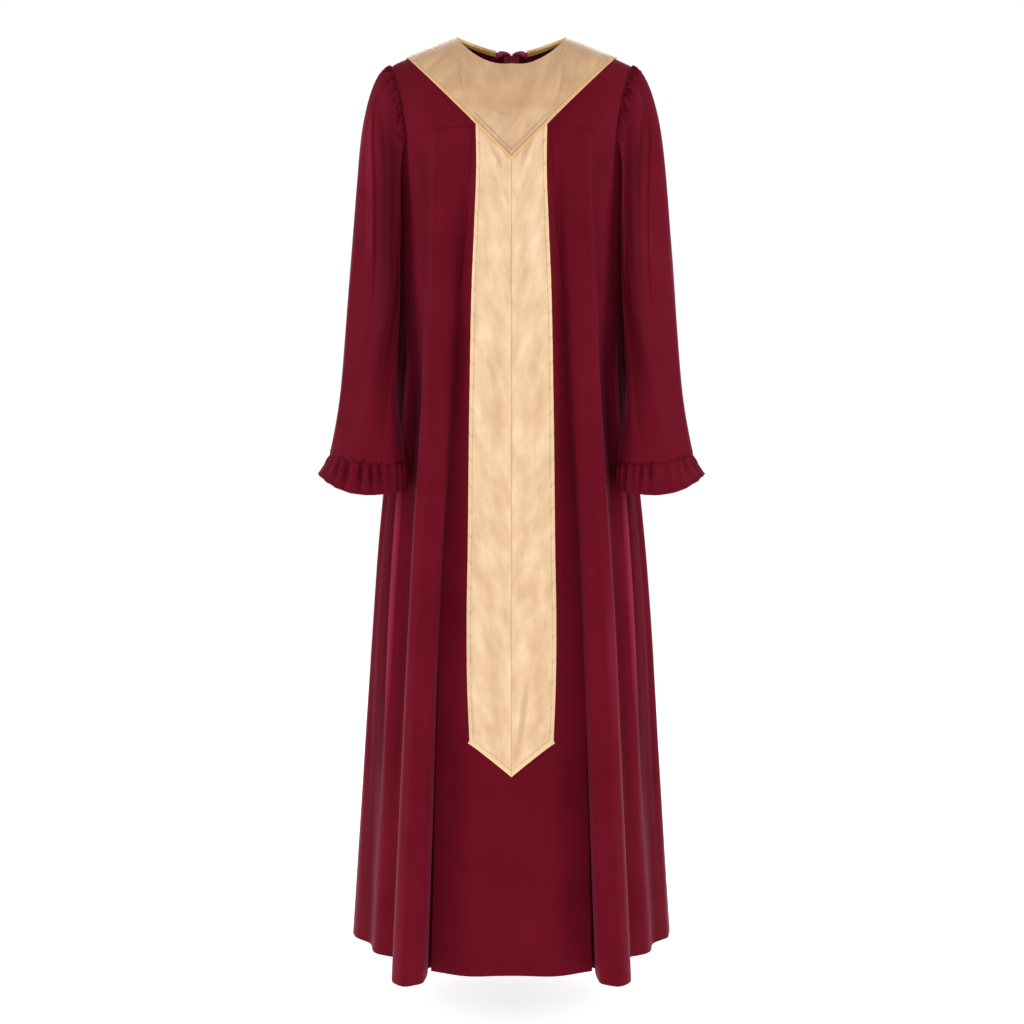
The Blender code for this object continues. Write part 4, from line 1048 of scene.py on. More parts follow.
sleeveShow = {
    "gathers": 50, "gathersTo": 0.34, "columnsPerGather": 11, "plainColumns": 44,
    "seamShares": (0.0, 0.006, 0.013, 0.022, 0.033, 0.046, 0.062, 0.080, 0.100, 0.125),
    "capRows": 18, "ringRows": 44, "cuffRows": (0.0012, 0.0028, 0.0050, 0.0080),
    "gatherDepth": 0.0021, "gatherLength": 0.014, "gatherPower": 2.0, "crush": 0.0012,
    "broad": 0.0010, "broadLength": 0.022, "broadWaves": 23, "gatherShade": 2.6, "tuckShade": -0.006,
    "headRise": 0.0010, "headReach": 0.012, "headWidth": 0.10,
    "seamDip": 0.0010, "dipReach": 0.0022, "tuckReach": 0.0040, "tuckDepth": 0.0020, "girth": 0.34,
    "pucker": 0.0006, "puckerLength": 0.010, "puckerWaves": 34, "ripple": 0.0009, "rippleFrom": 0.03,
    "jitter": 0.34, "tall": (0.45, 1.25), "long": (0.6, 1.35), "gain": 1.6, "start": 0.0016, "sharp": 0.8,
    "wander": 0.9, "wanderSize": (0.02, 0.012), "wanderFrom": 0.006, "crushSize": (0.0045, 0.0055),
    "broadFrom": 0.010, "broadBend": 0.35, "shoulderCalm": 0.7, "foldReach": 0.0006, "foldShare": 0.8,
    "edgePlaces": (0.001, 0.006), "edgeEasing": 6,
    # topTurn endTurn bow fromZ toZ grow die width height form
    "folds": [
        (0.085, 0.125, 0.010, -0.055, -0.440, 0.15, 0.45, 0.050, 0.0036, 1),
        (0.132, 0.170, 0.010, -0.070, -0.420, 0.15, 0.45, 0.014, -0.0030, 0),
        (0.200, 0.190, 0.010, -0.130, -0.400, 0.20, 0.50, 0.020, -0.0014, 0),
        (0.205, 0.235, 0.010, -0.060, -0.560, 0.20, 0.50, 0.065, -0.0058, 0),
        (0.060, 0.045, 0.000, -0.260, -0.600, 0.30, 0.20, 0.020, 0.0016, 0),
        (0.300, 0.290, 0.010, -0.260, -0.600, 0.30, 0.20, 0.022, -0.0018, 0),
        (0.930, 0.890, -0.010, -0.060, -0.430, 0.15, 0.45, 0.050, 0.0030, -1),
        (0.800, 0.810, 0.010, -0.150, -0.520, 0.20, 0.40, 0.022, -0.0018, 0),
        (0.700, 0.690, 0.010, -0.300, -0.600, 0.30, 0.20, 0.022, 0.0016, 0),
    ],
    # u from the shoulder towards the front and v down the sleeve at start and end, bow, width, height
    "creases": [
        (0.105, 0.012, 0.075, 0.050, 0.003, 0.0035, 0.0020), (0.098, 0.020, 0.066, 0.052, 0.003, 0.0030, -0.0018),
        (0.040, 0.025, 0.055, 0.120, 0.006, 0.0050, -0.0014), (-0.060, 0.030, -0.050, 0.130, 0.006, 0.0050, -0.0016),
        (0.120, 0.040, 0.110, 0.150, 0.006, 0.0060, 0.0014), (-0.110, 0.030, -0.080, 0.100, -0.006, 0.0050, 0.0015),
    ],
    "sheet": {"flat": (0.46, 0.62), "area": 0.235, "held": "gathered"},
}


def sleeveTuck(around, depth, inwards):
    near, far = (armholePoint(around, place) for place in sleeveShow["edgePlaces"])
    along = np.roll(near, -1, 0) - np.roll(near, 1, 0)
    for _ in range(sleeveShow["edgeEasing"]):  # of the corners between yoke and panel
        along = (np.roll(along, -1, 0) + 2 * along + np.roll(along, 1, 0)) / 4
    normal = np.cross(along, far - near)
    normal = normal / np.linalg.norm(normal, axis=1)[:, None]
    normal = normal * np.where(normal[:, :1] > 0, 1, -1)
    return armholePoint(around, depth) - normal * inwards


def sleeveGrid(seed):
    show = sleeveShow
    dice = np.random.default_rng(seed)
    reach = show["gathersTo"]
    dense = np.linspace(-reach, reach, int(2 * reach * show["gathers"] * show["columnsPerGather"]) + 1)
    plain = np.linspace(reach, 1 - reach, show["plainColumns"] + 2)[1:-1]
    around = (-np.concatenate([dense, plain])) % 1.0
    signed = (around + 0.5) % 1.0 - 0.5
    capShare = np.concatenate([
        show["seamShares"], np.linspace(show["seamShares"][-1], 1, show["capRows"] + 1)[1:-1]])
    topZ, endZ = sleeve["rings"][0][0], sleeve["rings"][-1][0]
    z = ringed(np.linspace(endZ, topZ, show["ringRows"] + 1), endZ + np.array(show["cuffRows"]))[::-1]
    grid = np.concatenate([
        made(*np.broadcast_arrays(around, rows[:, None])) for made, rows in ((capPoint, capShare), (ringPoint, z))])
    v = lengths(grid, 0)
    u = np.broadcast_to(signed * show["girth"], v.shape)
    # the gathers: sharp small pleats that start at the seam, uneven in depth and length
    count = show["gathers"] + 2
    jitter = dice.uniform(-show["jitter"], show["jitter"], count * 2)
    phase = signed * show["gathers"]
    phase = phase + np.interp(phase, np.arange(-count, count), jitter)
    own = np.round(phase).astype(int) + count
    tall = dice.uniform(*show["tall"], count * 2)[own]
    long = dice.uniform(*show["long"], count * 2)[own] * show["gatherLength"]
    strength = np.sqrt(np.clip((reach - np.abs(signed)) / reach * show["gain"], 0, 1))
    fade = smooth(v / show["start"]) * np.exp(-((v / long) ** show["gatherPower"]))
    wander = show["wander"] * sized(u, v, show["wanderSize"], seed + 3) * smooth(v / show["wanderFrom"])
    wave = 1 - 2 * np.abs(np.sin(math.pi * (phase + wander))) ** show["sharp"]
    height = show["gatherDepth"] * tall * strength * wave * fade
    height = height + show["crush"] * strength * sized(u, v, show["crushSize"], seed + 4) * fade
    marks = show["gatherShade"] * np.minimum(height, 0)
    broad = show["broadWaves"] * signed + show["broadBend"] * np.sin(circle * 5 * signed + seed)
    broad = np.cos(circle * broad) * smooth(v / show["broadFrom"]) * np.exp(-((v / show["broadLength"]) ** 1.5))
    height = height + show["broad"] * strength * broad
    folds = varied(show["folds"], seed, (7, 8), 0.2)
    height = height + foldHeight(np.broadcast_to(around, v.shape), grid[..., 2], folds)
    height = height + creaseHeight(u, v, varied(show["creases"], seed, (1, 5, 6), 0.2))
    ripple = softNoise(6 * np.cos(circle * around), 3 * np.sin(circle * around) + v / 0.09, seed)
    height = height + show["ripple"] * ripple * smooth(v / show["rippleFrom"])
    below = fromEnd(grid, 0)
    small = np.cos(circle * show["puckerWaves"] * around + 2 * np.sin(circle * 7 * around + seed))
    height = height + show["pucker"] * small * np.exp(-((below / show["puckerLength"]) ** 1.5))
    atShoulder = bell(signed, show["headWidth"])
    height = height - show["seamDip"] * (
        (1 - show["shoulderCalm"] * atShoulder) * bell(v, show["dipReach"]) + bell(below, show["dipReach"]))
    swell = show["headRise"] * atShoulder * (v / show["headReach"]) * np.exp(1 - v / show["headReach"])
    hidden = sleeveTuck(around, show["tuckReach"], show["tuckDepth"])
    fold = sleeveTuck(around, show["foldReach"], show["tuckDepth"] * show["foldShare"])
    grid = np.concatenate([np.stack([hidden, fold]), raised(grid, height + swell, around=True)])
    # the tucked rows take painted shade
    return grid, np.pad(height + marks, ((2, 0), (0, 0)), constant_values=show["tuckShade"])


ruffle = {
    "height": 0.0445, "waves": 22, "columnsPerWave": 14, "hem": 0.006,
    "rows": (0.0, 0.02, 0.05, 0.09, 0.15, 0.22, 0.30, 0.39, 0.49, 0.59, 0.69, 0.78, 0.84, 0.87, 0.90, 0.95, 1.0),
    "flare": 0.0095, "flareOuter": 0.0078, "wave": 0.0034, "waveOuter": -0.0014, "calm": 0.55,
    "flarePower": 1.3, "wavePower": 0.8, "lift": 0.0165, "liftPower": 3, "liftInner": 0.005, "seam": 0.0004,
    "pinch": 0.0016, "tuckReach": 0.004, "tuckDepth": 0.0020, "hemDip": 0.0004, "hemWidth": 0.0010,
    "uneven": (0.95, 0.80), "tall": (0.35, 1.25), "sharp": 1.5, "pinchTo": 0.5,
    "shade": 0.0080, "shadeFrom": 0.1, "shadeLength": (0.35, 0.3), "seamShade": 0.004, "seamLength": 0.035,
    "hemShade": 2.5,
    "sheet": {"flat": (0.52, 0.048), "held": "gathered"},
}


def ruffleGrid(seed):
    dice = np.random.default_rng(seed)
    waves = ruffle["waves"]
    columns = waves * ruffle["columnsPerWave"]
    around = (-np.arange(columns) / columns) % 1.0
    share = np.array(ruffle["rows"])[:, None]
    angle = circle * around
    outer = np.cos(angle)
    flare = (ruffle["flare"] + ruffle["flareOuter"] * outer) * share ** ruffle["flarePower"]
    wave = (ruffle["wave"] + ruffle["waveOuter"] * outer) * share ** ruffle["wavePower"]
    slow, quick = ruffle["uneven"]
    phase = waves * angle + (slow * np.sin(3 * angle + seed) + quick * np.sin(7 * angle + 2.0 * seed))
    tall = np.interp(phase / circle, np.arange(-2, waves + 3), dice.uniform(*ruffle["tall"], waves + 5))
    crest = 1 - 2 * np.abs(np.sin(phase / 2)) ** ruffle["sharp"]
    pinchTo = ruffle["pinchTo"]
    lip = wave * np.minimum(tall, 1.0) * crest * (1 - ruffle["calm"] * smooth((share - pinchTo) / (1 - pinchTo)))
    lip = lip + ruffle["pinch"] * tall * crest * np.sin(math.pi * np.clip(share / pinchTo, 0, 1))
    seam = ringPoint(around, sleeve["rings"][-1][0] + 0.0 * around)
    lift = ruffle["lift"] * np.maximum(outer, 0) ** ruffle["liftPower"] + ruffle["liftInner"] * np.maximum(-outer, 0)
    fall = ruffle["seam"] + (ruffle["height"] - lift) * share
    out = stack(outer, -np.sin(angle), 0.0)
    grid = seam[None] + out[None] * (flare + lip)[..., None] - stack(0.0 * fall, 0.0 * fall, fall)
    dip = ruffle["hemDip"] * bell(fromEnd(grid, 0) - ruffle["hem"], ruffle["hemWidth"])
    least, more = ruffle["shadeLength"]
    height = np.minimum(tall * crest - ruffle["shadeFrom"], 0) * ruffle["shade"] * tall * bell(
        share, least + more * tall)
    height = height - ruffle["seamShade"] * bell(share, ruffle["seamLength"]) - ruffle["hemShade"] * dip
    hidden = seam - out * ruffle["tuckDepth"] + np.array([0, 0, ruffle["tuckReach"]])
    grid = np.concatenate([hidden[None], raised(grid, -dip, around=True)])
    # the tucked row takes painted shade
    return grid, np.pad(height, ((1, 0), (0, 0)), constant_values=sleeveShow["tuckShade"])


for name, seed in (("right", 31), ("left", 32)):
    for node, made, show in (("sleeve_", sleeveGrid, sleeveShow), ("cuff_ruffle_", ruffleGrid, ruffle)):
        grid, height = made(seed)
        clothPiece(node + name, "maroon_cloth", grid, show["sheet"], {"fold": height}, around=True,
                   mirror=name == "left")
print("sleeves ready")

# collar

collar = {
    "tipZ": -0.163, "cornerX": 0.1575, "backReach": 0.098,
    "stoleUnderX": (0.060, 0.080), "stoleUnderRise": (0.072, 0.092),
    "neckColumns": 60, "shoulderColumns": 40, "rows": 150, "lowest": -0.7,
    "nearEdge": (0.0, 0.0005, 0.0011, 0.0018, 0.0025, 0.0030, 0.0036, 0.0043, 0.0050, 0.0056, 0.0063, 0.0072, 0.0080,
                 0.0086, 0.0091, 0.0097, 0.0104, 0.0112),
    "nearNeck": (0.0, 0.0006, 0.0014, 0.0026, 0.0044), "evenRows": 44,
    "frontEdgeScale": 1.42, "backEvenRows": 24, "backFromX": 0.022,
    "turned": 0.0050, "turnedRise": 0.00035, "stitchDip": 0.00025, "second": 0.0100, "ripple": 0.0006,
    "rowScale": 1.35, "secondToX": 0.056, "roll": 0.0004, "rollWidth": 0.0006, "rippleSize": (0.022, 0.045),
    "rippleFrom": 0.02, "sewnAndShade": 0.35, "sewnWidth": 0.0005, "sewnSize": (0.002, 0.01),
    "puckerSize": (0.0030, 0.02), "puckerOff": 0.0013, "puckerWidth": 0.7,
    "ridges": (0.0030, 0.0090), "ridgeHeight": 0.0009, "ridgeWidth": 0.0009, "ridgeX": (0.052, 0.058),
    # x and z at start and end, bow, width, height: shiny crumples above the point
    "creases": [
        (0.002, -0.122, 0.020, -0.098, 0.003, 0.0045, 0.0014), (-0.020, -0.100, -0.004, -0.124, 0.002, 0.0040, -0.0010),
        (-0.030, -0.092, -0.012, -0.104, 0.002, 0.0040, 0.0010), (0.022, -0.118, 0.032, -0.100, 0.002, 0.0035, -0.0009),
    ],
    "front": {"flat": (0.34, 0.19), "area": 0.038, "held": "laid"},
    "back": {"flat": (0.15, 0.09), "area": 0.0055, "held": "laid"},
}


def withinCollar(x, down, side):
    spot = robePoint(x, down, side)
    if side > 0:
        return (spot[..., 1] - yoke["ridgeY"]) / collar["backReach"] + x / collar["cornerX"] < 1
    top = shoulderZ(collar["cornerX"])
    return spot[..., 2] > collar["tipZ"] + (top - collar["tipZ"]) * x / collar["cornerX"]


def collarHalf(side):
    shares, ends = yokeColumns(side, collar["neckColumns"], collar["shoulderColumns"], collar["cornerX"])
    lowest = -bisect(-ends, -collar["lowest"] + 0.0 * ends, lambda t: withinCollar(
        shares * armholeX(np.maximum(-t, 0), side), -t, side))
    rows = np.linspace(0, 1, collar["rows"] + 1)[:, None]
    down = ends[None, :] + (np.minimum(lowest, ends) - ends)[None, :] * rows
    return robePoint(shares[None, :] * armholeX(np.maximum(down, 0), side), down, side)


def collarLift(grid):
    # one cloth off the robe, and two where the stole lies between
    near, far = collar["stoleUnderX"]
    low, high = collar["stoleUnderRise"]
    beside = smooth((far - np.abs(grid[..., 0])) / (far - near))
    below = smooth((high - (grid[..., 2] - collar["tipZ"])) / (high - low))
    return (cloth["satinWall"] + cloth["layGap"]) * (1 + beside * below)


def turnedCloth(distance, turned):
    # 1 where an edge is turned in and the cloth double, up to the row of stitches
    return 1 - smooth((distance - turned + 0.0004) / 0.0008)


def collarPiece(name, grid, lift, sheet, seed):
    u, v = grid[..., 0], lengths(grid, 0)
    distance = edgeDistance(grid, grid[-1])
    turned, width = collar["turned"], collar["rollWidth"]
    height = collar["turnedRise"] * turnedCloth(distance, turned) - collar["roll"] * bell(distance, width)
    height = height - collar["stitchDip"] * bell(distance - turned, width)
    ripple = softNoise(u / collar["rippleSize"][0] + 9, v / collar["rippleSize"][1], seed)
    height = height + collar["ripple"] * ripple * smooth(distance / collar["rippleFrom"])
    sewnAndShade = collar["sewnAndShade"] * bell(distance - turned, collar["sewnWidth"])
    sewnAndShade = sewnAndShade * (1 + sized(u, v, collar["sewnSize"], seed))
    if sheet is collar["front"]:
        height = height + creaseHeight(u, grid[..., 2], collar["creases"])
        near, far = collar["ridgeX"]
        beside = smooth((far - np.abs(u)) / (far - near))
        width = collar["ridgeWidth"]
        for ridge in collar["ridges"]:
            height = height + collar["ridgeHeight"] * bell(distance - ridge, width) * beside
            # the puckers beside each ridge take painted shade in the stitch mark
            puckers = 0.5 + 0.5 * sized(u, v, collar["puckerSize"], seed + int(ridge * 1e4))
            off = distance - ridge - collar["puckerOff"]
            sewnAndShade = sewnAndShade + puckers * bell(off, collar["puckerWidth"] * width) * beside
    grid = raised(grid, lift + height)
    clothPiece(name, "collar_satin", grid, sheet,
               {"edge": distance / turned, "fold": 0.0 * height, "sewnAndShade": np.minimum(sewnAndShade, 1)})
    return grid


half = respaced(collarHalf(-1), 0, collar["nearNeck"], collar["frontEdgeScale"] * np.array(collar["nearEdge"]),
                collar["evenRows"])
grid = bothHalves(half, half)
grid = collarPiece("collar_front", grid, collarLift(grid), collar["front"], 41)
tipRow = lineAt(grid, 0, collar["rowScale"] * collar["second"])
collarRows = [
    lineAt(grid, 0, collar["rowScale"] * collar["turned"]), tipRow[np.abs(tipRow[:, 0]) < collar["secondToX"]]]
half = collarHalf(1)
half = half[:, half[0, :, 0] > collar["backFromX"]][:, ::-1]
half = respaced(half, 0, collar["nearNeck"], collar["nearEdge"], collar["backEvenRows"])
for name, grid, seed in (("right", half, 42), ("left", mirrored(half), 43)):
    lift = cloth["satinWall"] + cloth["layGap"]
    grid = collarPiece("collar_back_" + name, grid, lift, collar["back"], seed)
    collarRows.append(lineAt(grid, 0, collar["turned"]))
repeated("collar_stitches", collarRows, collarThread, "collar_satin", stitch)
print("collar ready")

# stole

stole = {
    "tuck": 0.014, "topRise": 0.052, "pointZ": -1.059, "cornerRise": 0.050, "endScale": 0.78,
    "tightSize": (0.02, 0.009), "seamedSize": (0.01, 0.012), "rippleSize": (0.018, 0.05), "calm": (0.012, 0.006),
    "seamWidth": 0.0009, "seamPucker": (0.003, 0.0022), "puckerWidth": 0.0012, "sewnWidth": 0.0005,
    "sewnAndShade": (0.35, 0.4), "notchSewn": 0.5, "notchFade": 0.002, "seamSewn": 0.22, "seamSewnWidth": 0.0012,
    "beatDrift": 0.12, "beatSize": 0.07, "creaseFrom": 0.008,
    "columns": 40, "rows": 460, "evenColumns": 22, "evenRows": 360,
    "nearSide": (0.0, 0.0006, 0.0014, 0.0026, 0.0040, 0.0052, 0.0058, 0.0062, 0.0066, 0.0070, 0.0076, 0.0088),
    "nearSeam": (0.0, 0.0005, 0.0011, 0.0019, 0.0030, 0.0044),
    # z halfWidth
    "widths": [
        (-0.110, 0.0520), (-0.160, 0.0506), (-0.255, 0.0530), (-0.335, 0.0562), (-0.525, 0.0603),
        (-0.735, 0.0628), (-0.825, 0.0643), (-0.935, 0.0635), (-1.009, 0.0607), (-1.100, 0.0595),
    ],
    "turned": 0.0064, "turnedRise": 0.00040, "pucker": 0.0005, "seamDip": 0.0002, "ripple": 0.0007,
    "notch": 0.0006, "notchPitch": 0.036, "notchWidth": 0.0022, "tip": 0.0022, "tipShare": 0.004,
    # u from the middle and v down from the top at start and end, bow, width, height
    "rightCreases": [
        (0.008, 0.905, 0.030, 0.785, 0.001, 0.0065, -0.0017), (0.004, 0.880, 0.010, 0.800, 0.001, 0.0045, 0.0007),
        (0.040, 0.880, 0.040, 0.800, 0.001, 0.0060, 0.0007), (0.012, 0.560, 0.030, 0.520, 0.003, 0.0060, 0.0006),
        (0.046, 0.012, 0.018, 0.040, 0.004, 0.0060, -0.0012), (0.030, 0.066, 0.004, 0.034, 0.003, 0.0045, 0.0012),
        (0.044, 0.045, 0.020, 0.075, 0.003, 0.0060, -0.0007), (0.002, 0.055, 0.014, 0.085, 0.001, 0.0040, -0.0007),
    ],
    "leftCreases": [
        (0.046, 0.022, 0.014, 0.046, 0.004, 0.0065, -0.0013), (0.040, 0.058, 0.008, 0.034, 0.003, 0.0045, 0.0012),
        (0.018, 0.060, 0.003, 0.090, 0.001, 0.0045, -0.0009), (0.046, 0.070, 0.026, 0.085, 0.002, 0.0060, 0.0007),
        (0.010, 0.190, 0.040, 0.120, 0.004, 0.0080, 0.0006), (0.003, 0.590, 0.010, 0.640, 0.001, 0.0040, -0.0005),
    ],
    "sheet": {"flat": (0.065, 0.92), "area": 0.056, "held": "laid"},
}


def stoleHalf():
    widths = np.array(stole["widths"])
    share = np.linspace(0, 1, stole["columns"] + 1)[None, :]
    top = collar["tipZ"] + stole["tuck"] + stole["topRise"] * share
    end = stole["pointZ"] + stole["cornerRise"] * share
    z = top + (end - top) * np.linspace(0, 1, stole["rows"] + 1)[:, None]
    left = np.linspace(1, 0, stole["rows"] + 1)[:, None]
    x = through(z, widths[:, 0], widths[:, 1]) * share
    x = x + stole["tip"] * share**10 * smooth(1 - left / stole["tipShare"])
    half = robePoint(x, turnAtHeight(x, z, -1), -1)
    half = respaced(half, 0, (0.0, 0.002), stole["nearSide"], stole["evenRows"])
    return respaced(half, 1, stole["nearSeam"], stole["nearSide"], stole["evenColumns"])


base = stoleHalf()
edge = np.minimum(fromEnd(base, 1), fromEnd(base, 0) * stole["endScale"])
middle, v, turned = lengths(base, 1), lengths(base, 0), stole["turned"]
for name, seed in (("right", 51), ("left", 52)):
    tight = 0.5 + 0.5 * sized(edge, v, stole["tightSize"], seed)
    seamed = 0.5 + 0.5 * sized(middle, v, stole["seamedSize"], seed + 1)
    height = stole["turnedRise"] * turnedCloth(edge, turned) - stole["seamDip"] * bell(
        middle, stole["seamWidth"])
    place, width = stole["seamPucker"]
    height = height + stole["pucker"] * (
        seamed * bell(middle - place, width) - tight**2 * bell(edge - turned, stole["puckerWidth"]))
    beat = v / stole["notchPitch"] + stole["beatDrift"] * softNoise(v / stole["beatSize"], v * 0, seed + 5)
    beat = (beat + 0.5) % 1.0 - 0.5
    notch = bell(beat * stole["notchPitch"], stole["notchWidth"]) * (
        1 - smooth((edge - turned) / stole["notchFade"]))
    sewnAndShade = (stole["sewnAndShade"][0] + stole["sewnAndShade"][1] * tight) * bell(edge - turned, stole["sewnWidth"])
    sewnAndShade = sewnAndShade + stole["notchSewn"] * notch * smooth(edge / turned)
    sewnAndShade = sewnAndShade + stole["seamSewn"] * seamed * bell(middle, stole["seamSewnWidth"])
    creases = creaseHeight(middle, v, stole[name + "Creases"]) * smooth(edge / stole["creaseFrom"])
    calm = smooth(edge / stole["calm"][0]) * smooth(middle / stole["calm"][1])
    height = height - stole["notch"] * notch + creases
    height = height + stole["ripple"] * sized(middle, v, stole["rippleSize"], seed + 2) * calm
    half = raised(base, cloth["satinWall"] + cloth["layGap"] + height)
    half[..., 0] = np.maximum(half[..., 0], cloth["seamHalf"])
    row = lineAt(half, 1, turned)
    row = row[row[:, 2] > stole["pointZ"] + stole["cornerRise"]]
    end = lineAt(half, 0, turned / stole["endScale"])
    lines = [row[::-1], end[end[:, 0] < row[-1, 0]]]
    if name == "left":
        lines = [line * np.array([-1, 1, 1]) for line in lines]
    # the crease hollows take painted shade from this fold mark
    marks = {"edge": edge / turned, "fold": np.minimum(creases, 0), "sewnAndShade": np.minimum(sewnAndShade, 1)}
    clothPiece("stole_" + name, "stole_satin", half, stole["sheet"], marks, mirror=name == "left")
    repeated("stole_stitches_" + name, lines, stoleThread, "stole_satin", stitch)
print("stole ready")

# neck band, zip tapes, teeth, slider and pull

band = {
    "columns": 150, "rows": 26, "from": 0.024, "ruck": 0.0010, "ruckPitch": 0.0034, "noEdge": 3.0,
    "drift": 1.2, "driftSize": (0.006, 0.004), "ruckSize": (0.008, 0.01), "ruckDip": -0.0003, "lower": 0.97,
    # down the robe's face from its neck edge, and out of it: outside, over the edge and down inside
    "section": [(0.0022, 0.0026), (0.0006, 0.0027), (-0.0008, 0.0018), (-0.0012, 0.0004), (-0.0010, -0.0010),
                (-0.0002, -0.0018), (0.0012, -0.0020), (0.0064, -0.0020)],
    "sheet": {"flat": (0.09, 0.013), "area": 0.00108, "held": "stretched"},
}
angles = np.linspace(math.asin(band["from"] / yoke["neckHalfWidth"]), quarter, band["columns"] + 1)[::-1]
edgeX, edgeTurn = neckPoint(angles, 1)
rim = archPoint(edgeX, edgeTurn, 1)
lower = edgeTurn * band["lower"]
below = archPoint(np.maximum(edgeX / armholeX(edgeTurn, 1) * armholeX(lower, 1), 0), lower, 1)
way = (below - rim) / np.linalg.norm(below - rim, axis=1)[:, None]
out = gridNormals(np.stack([rim, rim + way * 0.005]))[0]
section = np.array(band["section"])
run = np.concatenate([[0], np.cumsum(np.linalg.norm(np.diff(section, axis=0), axis=1))])
rows = np.linspace(0, run[-1], band["rows"] + 1)
down, off = (np.interp(rows, run, section[:, k])[:, None, None] for k in (0, 1))
half = rim[None] + way[None] * down + out[None] * off
u, v = lengths(half, 1), lengths(half, 0)
for name, seed in (("right", 61), ("left", 62)):
    twist = circle * (u + 0.5 * v) / band["ruckPitch"] + band["drift"] * sized(u, v, band["driftSize"], seed)
    swell = np.sin(math.pi * np.clip(v / run[-1], 0, 1)) ** 0.5
    height = band["ruck"] * (0.5 + 0.5 * sized(u, v, band["ruckSize"], seed)) * np.sin(twist) * swell
    # the ruck hollows take painted shade from this fold mark
    marks = {"edge": band["noEdge"] + 0 * height, "fold": np.minimum(height, 0), "sewnAndShade": 0 * height}
    clothPiece("neck_band_" + name, "band_satin", raised(half, -np.maximum(height, band["ruckDip"])),
               band["sheet"], marks, mirror=name == "left")


def backStrip(innerX, outerX, steps, fromTurn, toZ):
    share = np.linspace(0, 1, zipper["rows"] + 1)[:, None] ** zipper["spread"]
    x = outerX + (innerX - outerX) * np.linspace(0, 1, steps + 1)[None, :]
    end = turnAtHeight(x, toZ + 0.0 * x, 1)
    return robePoint(x, fromTurn + (end - fromTurn) * share, 1)


petal = {
    "rows": 14, "swing": 62.0, "out": 0.0125, "up": -0.0068, "forward": 0.0050, "lean": 0.55, "bulge": 0.0020,
    "crumple": 0.0010, "crumpleTo": 0.022, "crumpleFade": 0.004,
}
topTurn = float(neckPoint(np.zeros(1), 1)[1][0])
strip = backStrip(zipper["tapeInner"], zipper["tapeOuter"], zipper["tapeColumns"], topTurn,
                  zipper["endZ"] - zipper["runOn"])
# above the neck edge the tape is folded outwards: its cross-section swings up about its outer edge
edge = strip[0]
rise = edge[0] - strip[1, 0]
rise = petal["lean"] * np.array([0, 0, 1.0]) + (1 - petal["lean"]) * rise / np.linalg.norm(rise)
rise = rise / np.linalg.norm(rise)
share = np.linspace(1, 0, petal["rows"] + 1)[:-1, None, None]
swing = math.radians(petal["swing"]) * share
across = np.linalg.norm(edge - edge[0], axis=1)[None, :, None]
sideways = np.array([1.0, 0, 0])
stand = edge[0] + (sideways * petal["out"] + rise * petal["up"]) * share
stand = stand + (rise * np.sin(swing) - sideways * np.cos(swing)) * across
stand = stand + (edge - edge[0] + sideways * across[0]) * (1 - share)
fold = np.sin(math.pi * np.clip(across / across.max(), 0, 1)) * np.sin(math.pi * share * 0.8)
stand = stand - np.array([0, 1.0, 0]) * (petal["bulge"] * fold + petal["forward"] * np.sin(quarter * share))
grid = np.concatenate([stand, strip])
u, v = lengths(grid, 1), lengths(grid, 0)
crumple = petal["crumple"] * softNoise(u / 0.004, v / 0.005, 71)
crumple = crumple * smooth((petal["crumpleTo"] - v) / petal["crumpleFade"])
grid = raised(grid, -cloth["wall"] - zipper["tapeGap"] + crumple)
for name in ("right", "left"):
    clothPiece("zip_tape_" + name, "zip_tape", grid, zipper["tape"], {"fold": crumple}, mirror=name == "left")
line = backStrip(zipper["toothX"], zipper["toothX"], 1, topTurn, zipper["endZ"])
line = line + np.array([[[0, 0, 0], [-1e-4, 0, 0]]])  # a second column gives the line its normals
line = raised(line, -cloth["wall"] - zipper["tapeGap"] + zipper["toothLift"])[zipper["firstTooth"]:, 0]
other = (line - np.array([0, 0, zipper["tooth"]["Pitch"] / 2])) * np.array([-1, 1, 1])
repeated("zip_teeth", [line, other], toothPlastic, "zip_tape", zipper["tooth"], tooth=True)


def rounded(node, body, width):
    # the solid's own shape with its edges rounded
    mesh = frame["nodes"][node].data.copy()
    mesh.transform(frame["nodes"][node].matrix_world)
    mesh.materials.clear()
    mesh.materials.append(sliderLacquer)
    made = bmesh.new()
    made.from_mesh(mesh)
    bmesh.ops.remove_doubles(made, verts=made.verts, dist=1e-6)
    bmesh.ops.dissolve_limit(made, angle_limit=math.radians(2), verts=made.verts, edges=made.edges)
    made.to_mesh(mesh)
    made.free()
    piece = placed(node + "_rounded", mesh)
    step = piece.modifiers.new("rounded", "BEVEL")
    step.width = width
    step.segments = 3
    step.limit_method = "ANGLE"
    step.angle_limit = math.radians(40)
    bpy.context.view_layer.update()
    shown = bpy.data.meshes.new_from_object(piece.evaluated_get(bpy.context.evaluated_depsgraph_get()))
    piece.modifiers.clear()
    piece.data = shown
    shown.shade_smooth()
    shown.set_sharp_from_angle(angle=math.radians(50))
    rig.ride(piece, body)
    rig.replaces(piece, node)
    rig.slot(piece, "zip_metal")


rounded("zip_slider", "robe", 0.00028)
rounded("zip_pull", "pull", 0.00030)
print("zip ready")

# stage

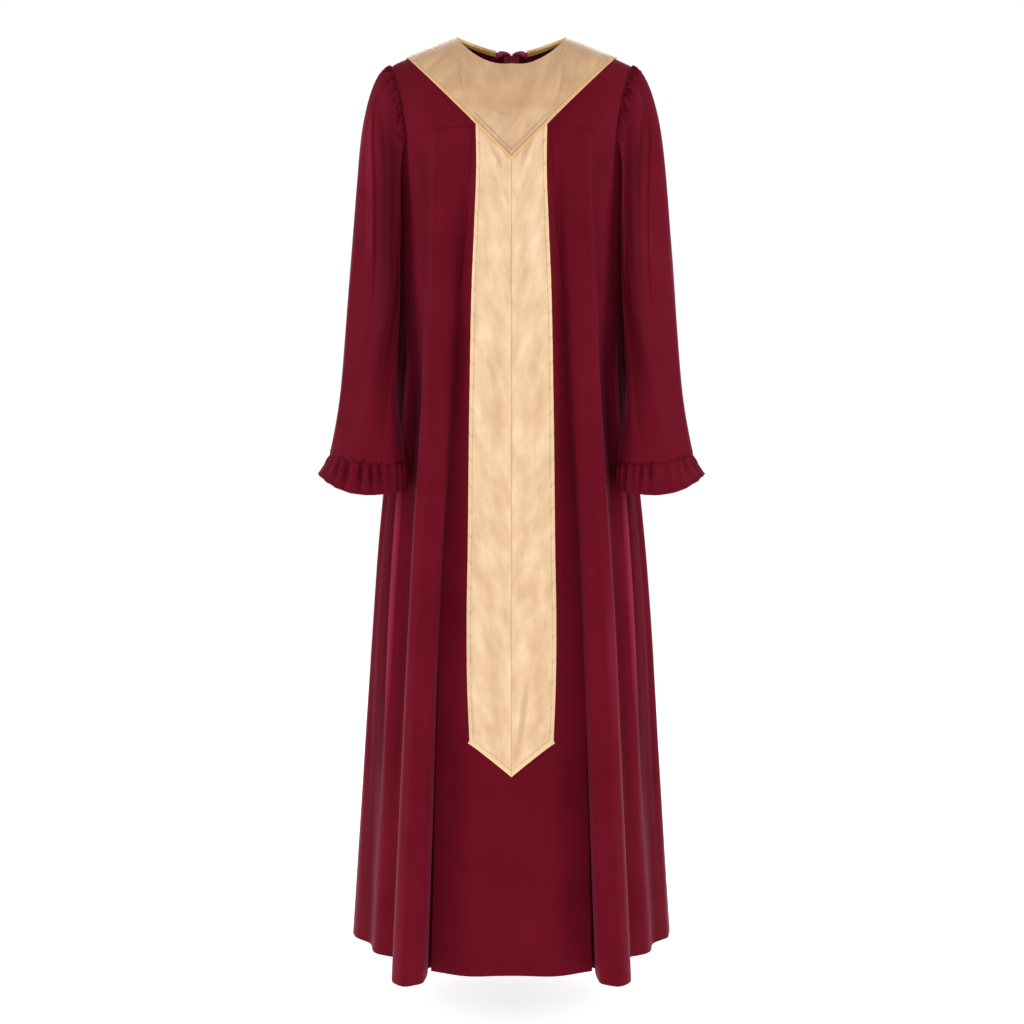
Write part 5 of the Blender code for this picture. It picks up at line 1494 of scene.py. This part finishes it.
studio = {
    "cameraPlace": (0.0008, -3.3, -0.367), "cameraTilt": 84.4, "lens": 75.83, "sensor": 36.0,
    "floorZ": -1.46, "floorHalf": 3.2, "world": 0.38, "backdrop": 1.0, "target": (0.0, 0.0, -0.6),
    "floor": {"Base Color": (0.70, 0.70, 0.70), "Roughness": 0.9, "Emission Color": (1.0, 1.0, 1.0),
              "Emission Strength": 0.78},
    # name, place, size, watts
    "lamps": [
        ("front_soft", (0.0, -3.8, 1.0), 2.2, 46), ("side_left", (-2.6, -0.7, 0.4), 1.2, 32),
        ("side_right", (2.6, -0.7, 0.4), 1.2, 32), ("back_soft", (0.0, 3.4, 1.4), 2.2, 34),
    ],
}
camera = bpy.data.cameras.new("studio_camera")
camera.lens = studio["lens"]
camera.sensor_width = studio["sensor"]
cameraObject = placed("studio_camera", camera)
cameraObject.location = studio["cameraPlace"]
cameraObject.rotation_euler = (math.radians(studio["cameraTilt"]), 0.0, 0.0)
bpy.context.scene.camera = cameraObject
bpy.context.scene.view_settings.view_transform = "Standard"

floorMesh = bpy.data.meshes.new("studio_floor")
corners = [
    (x * studio["floorHalf"], y * studio["floorHalf"], studio["floorZ"])
    for x, y in ((-1, -1), (1, -1), (1, 1), (-1, 1))]
floorMesh.from_pydata(corners, [], [(0, 1, 2, 3)])
floorMesh.materials.append(painted("studio_floor", lambda *_: studio["floor"]))
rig.stage(placed("studio_floor", floorMesh))

world = bpy.data.worlds.new("studio_world")
world.use_nodes = True
rays = add(world.node_tree, "ShaderNodeLightPath", {}, "Is Camera Ray")
glow = spread(world.node_tree, rays, studio["world"], studio["backdrop"])
feed(world.node_tree, world.node_tree.nodes["Background"], {"Color": (1.0, 1.0, 1.0), "Strength": glow})
bpy.context.scene.world = world

for name, spot, size, watts in studio["lamps"]:
    lamp = bpy.data.lights.new(name, "AREA")
    lamp.size = size
    lamp.energy = watts
    lampObject = placed(name, lamp)
    lampObject.location = spot
    way = Vector(studio["target"]) - Vector(spot)
    lampObject.rotation_euler = way.to_track_quat("-Z", "Y").to_euler()
print("studio ready")

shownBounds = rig.bounds()
with open("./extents.json", "w") as out:
    json.dump({
        "solids": [list(map(float, corner)) for corner in solidBounds],
        "shown": [list(map(float, corner)) for corner in shownBounds],
    }, out)
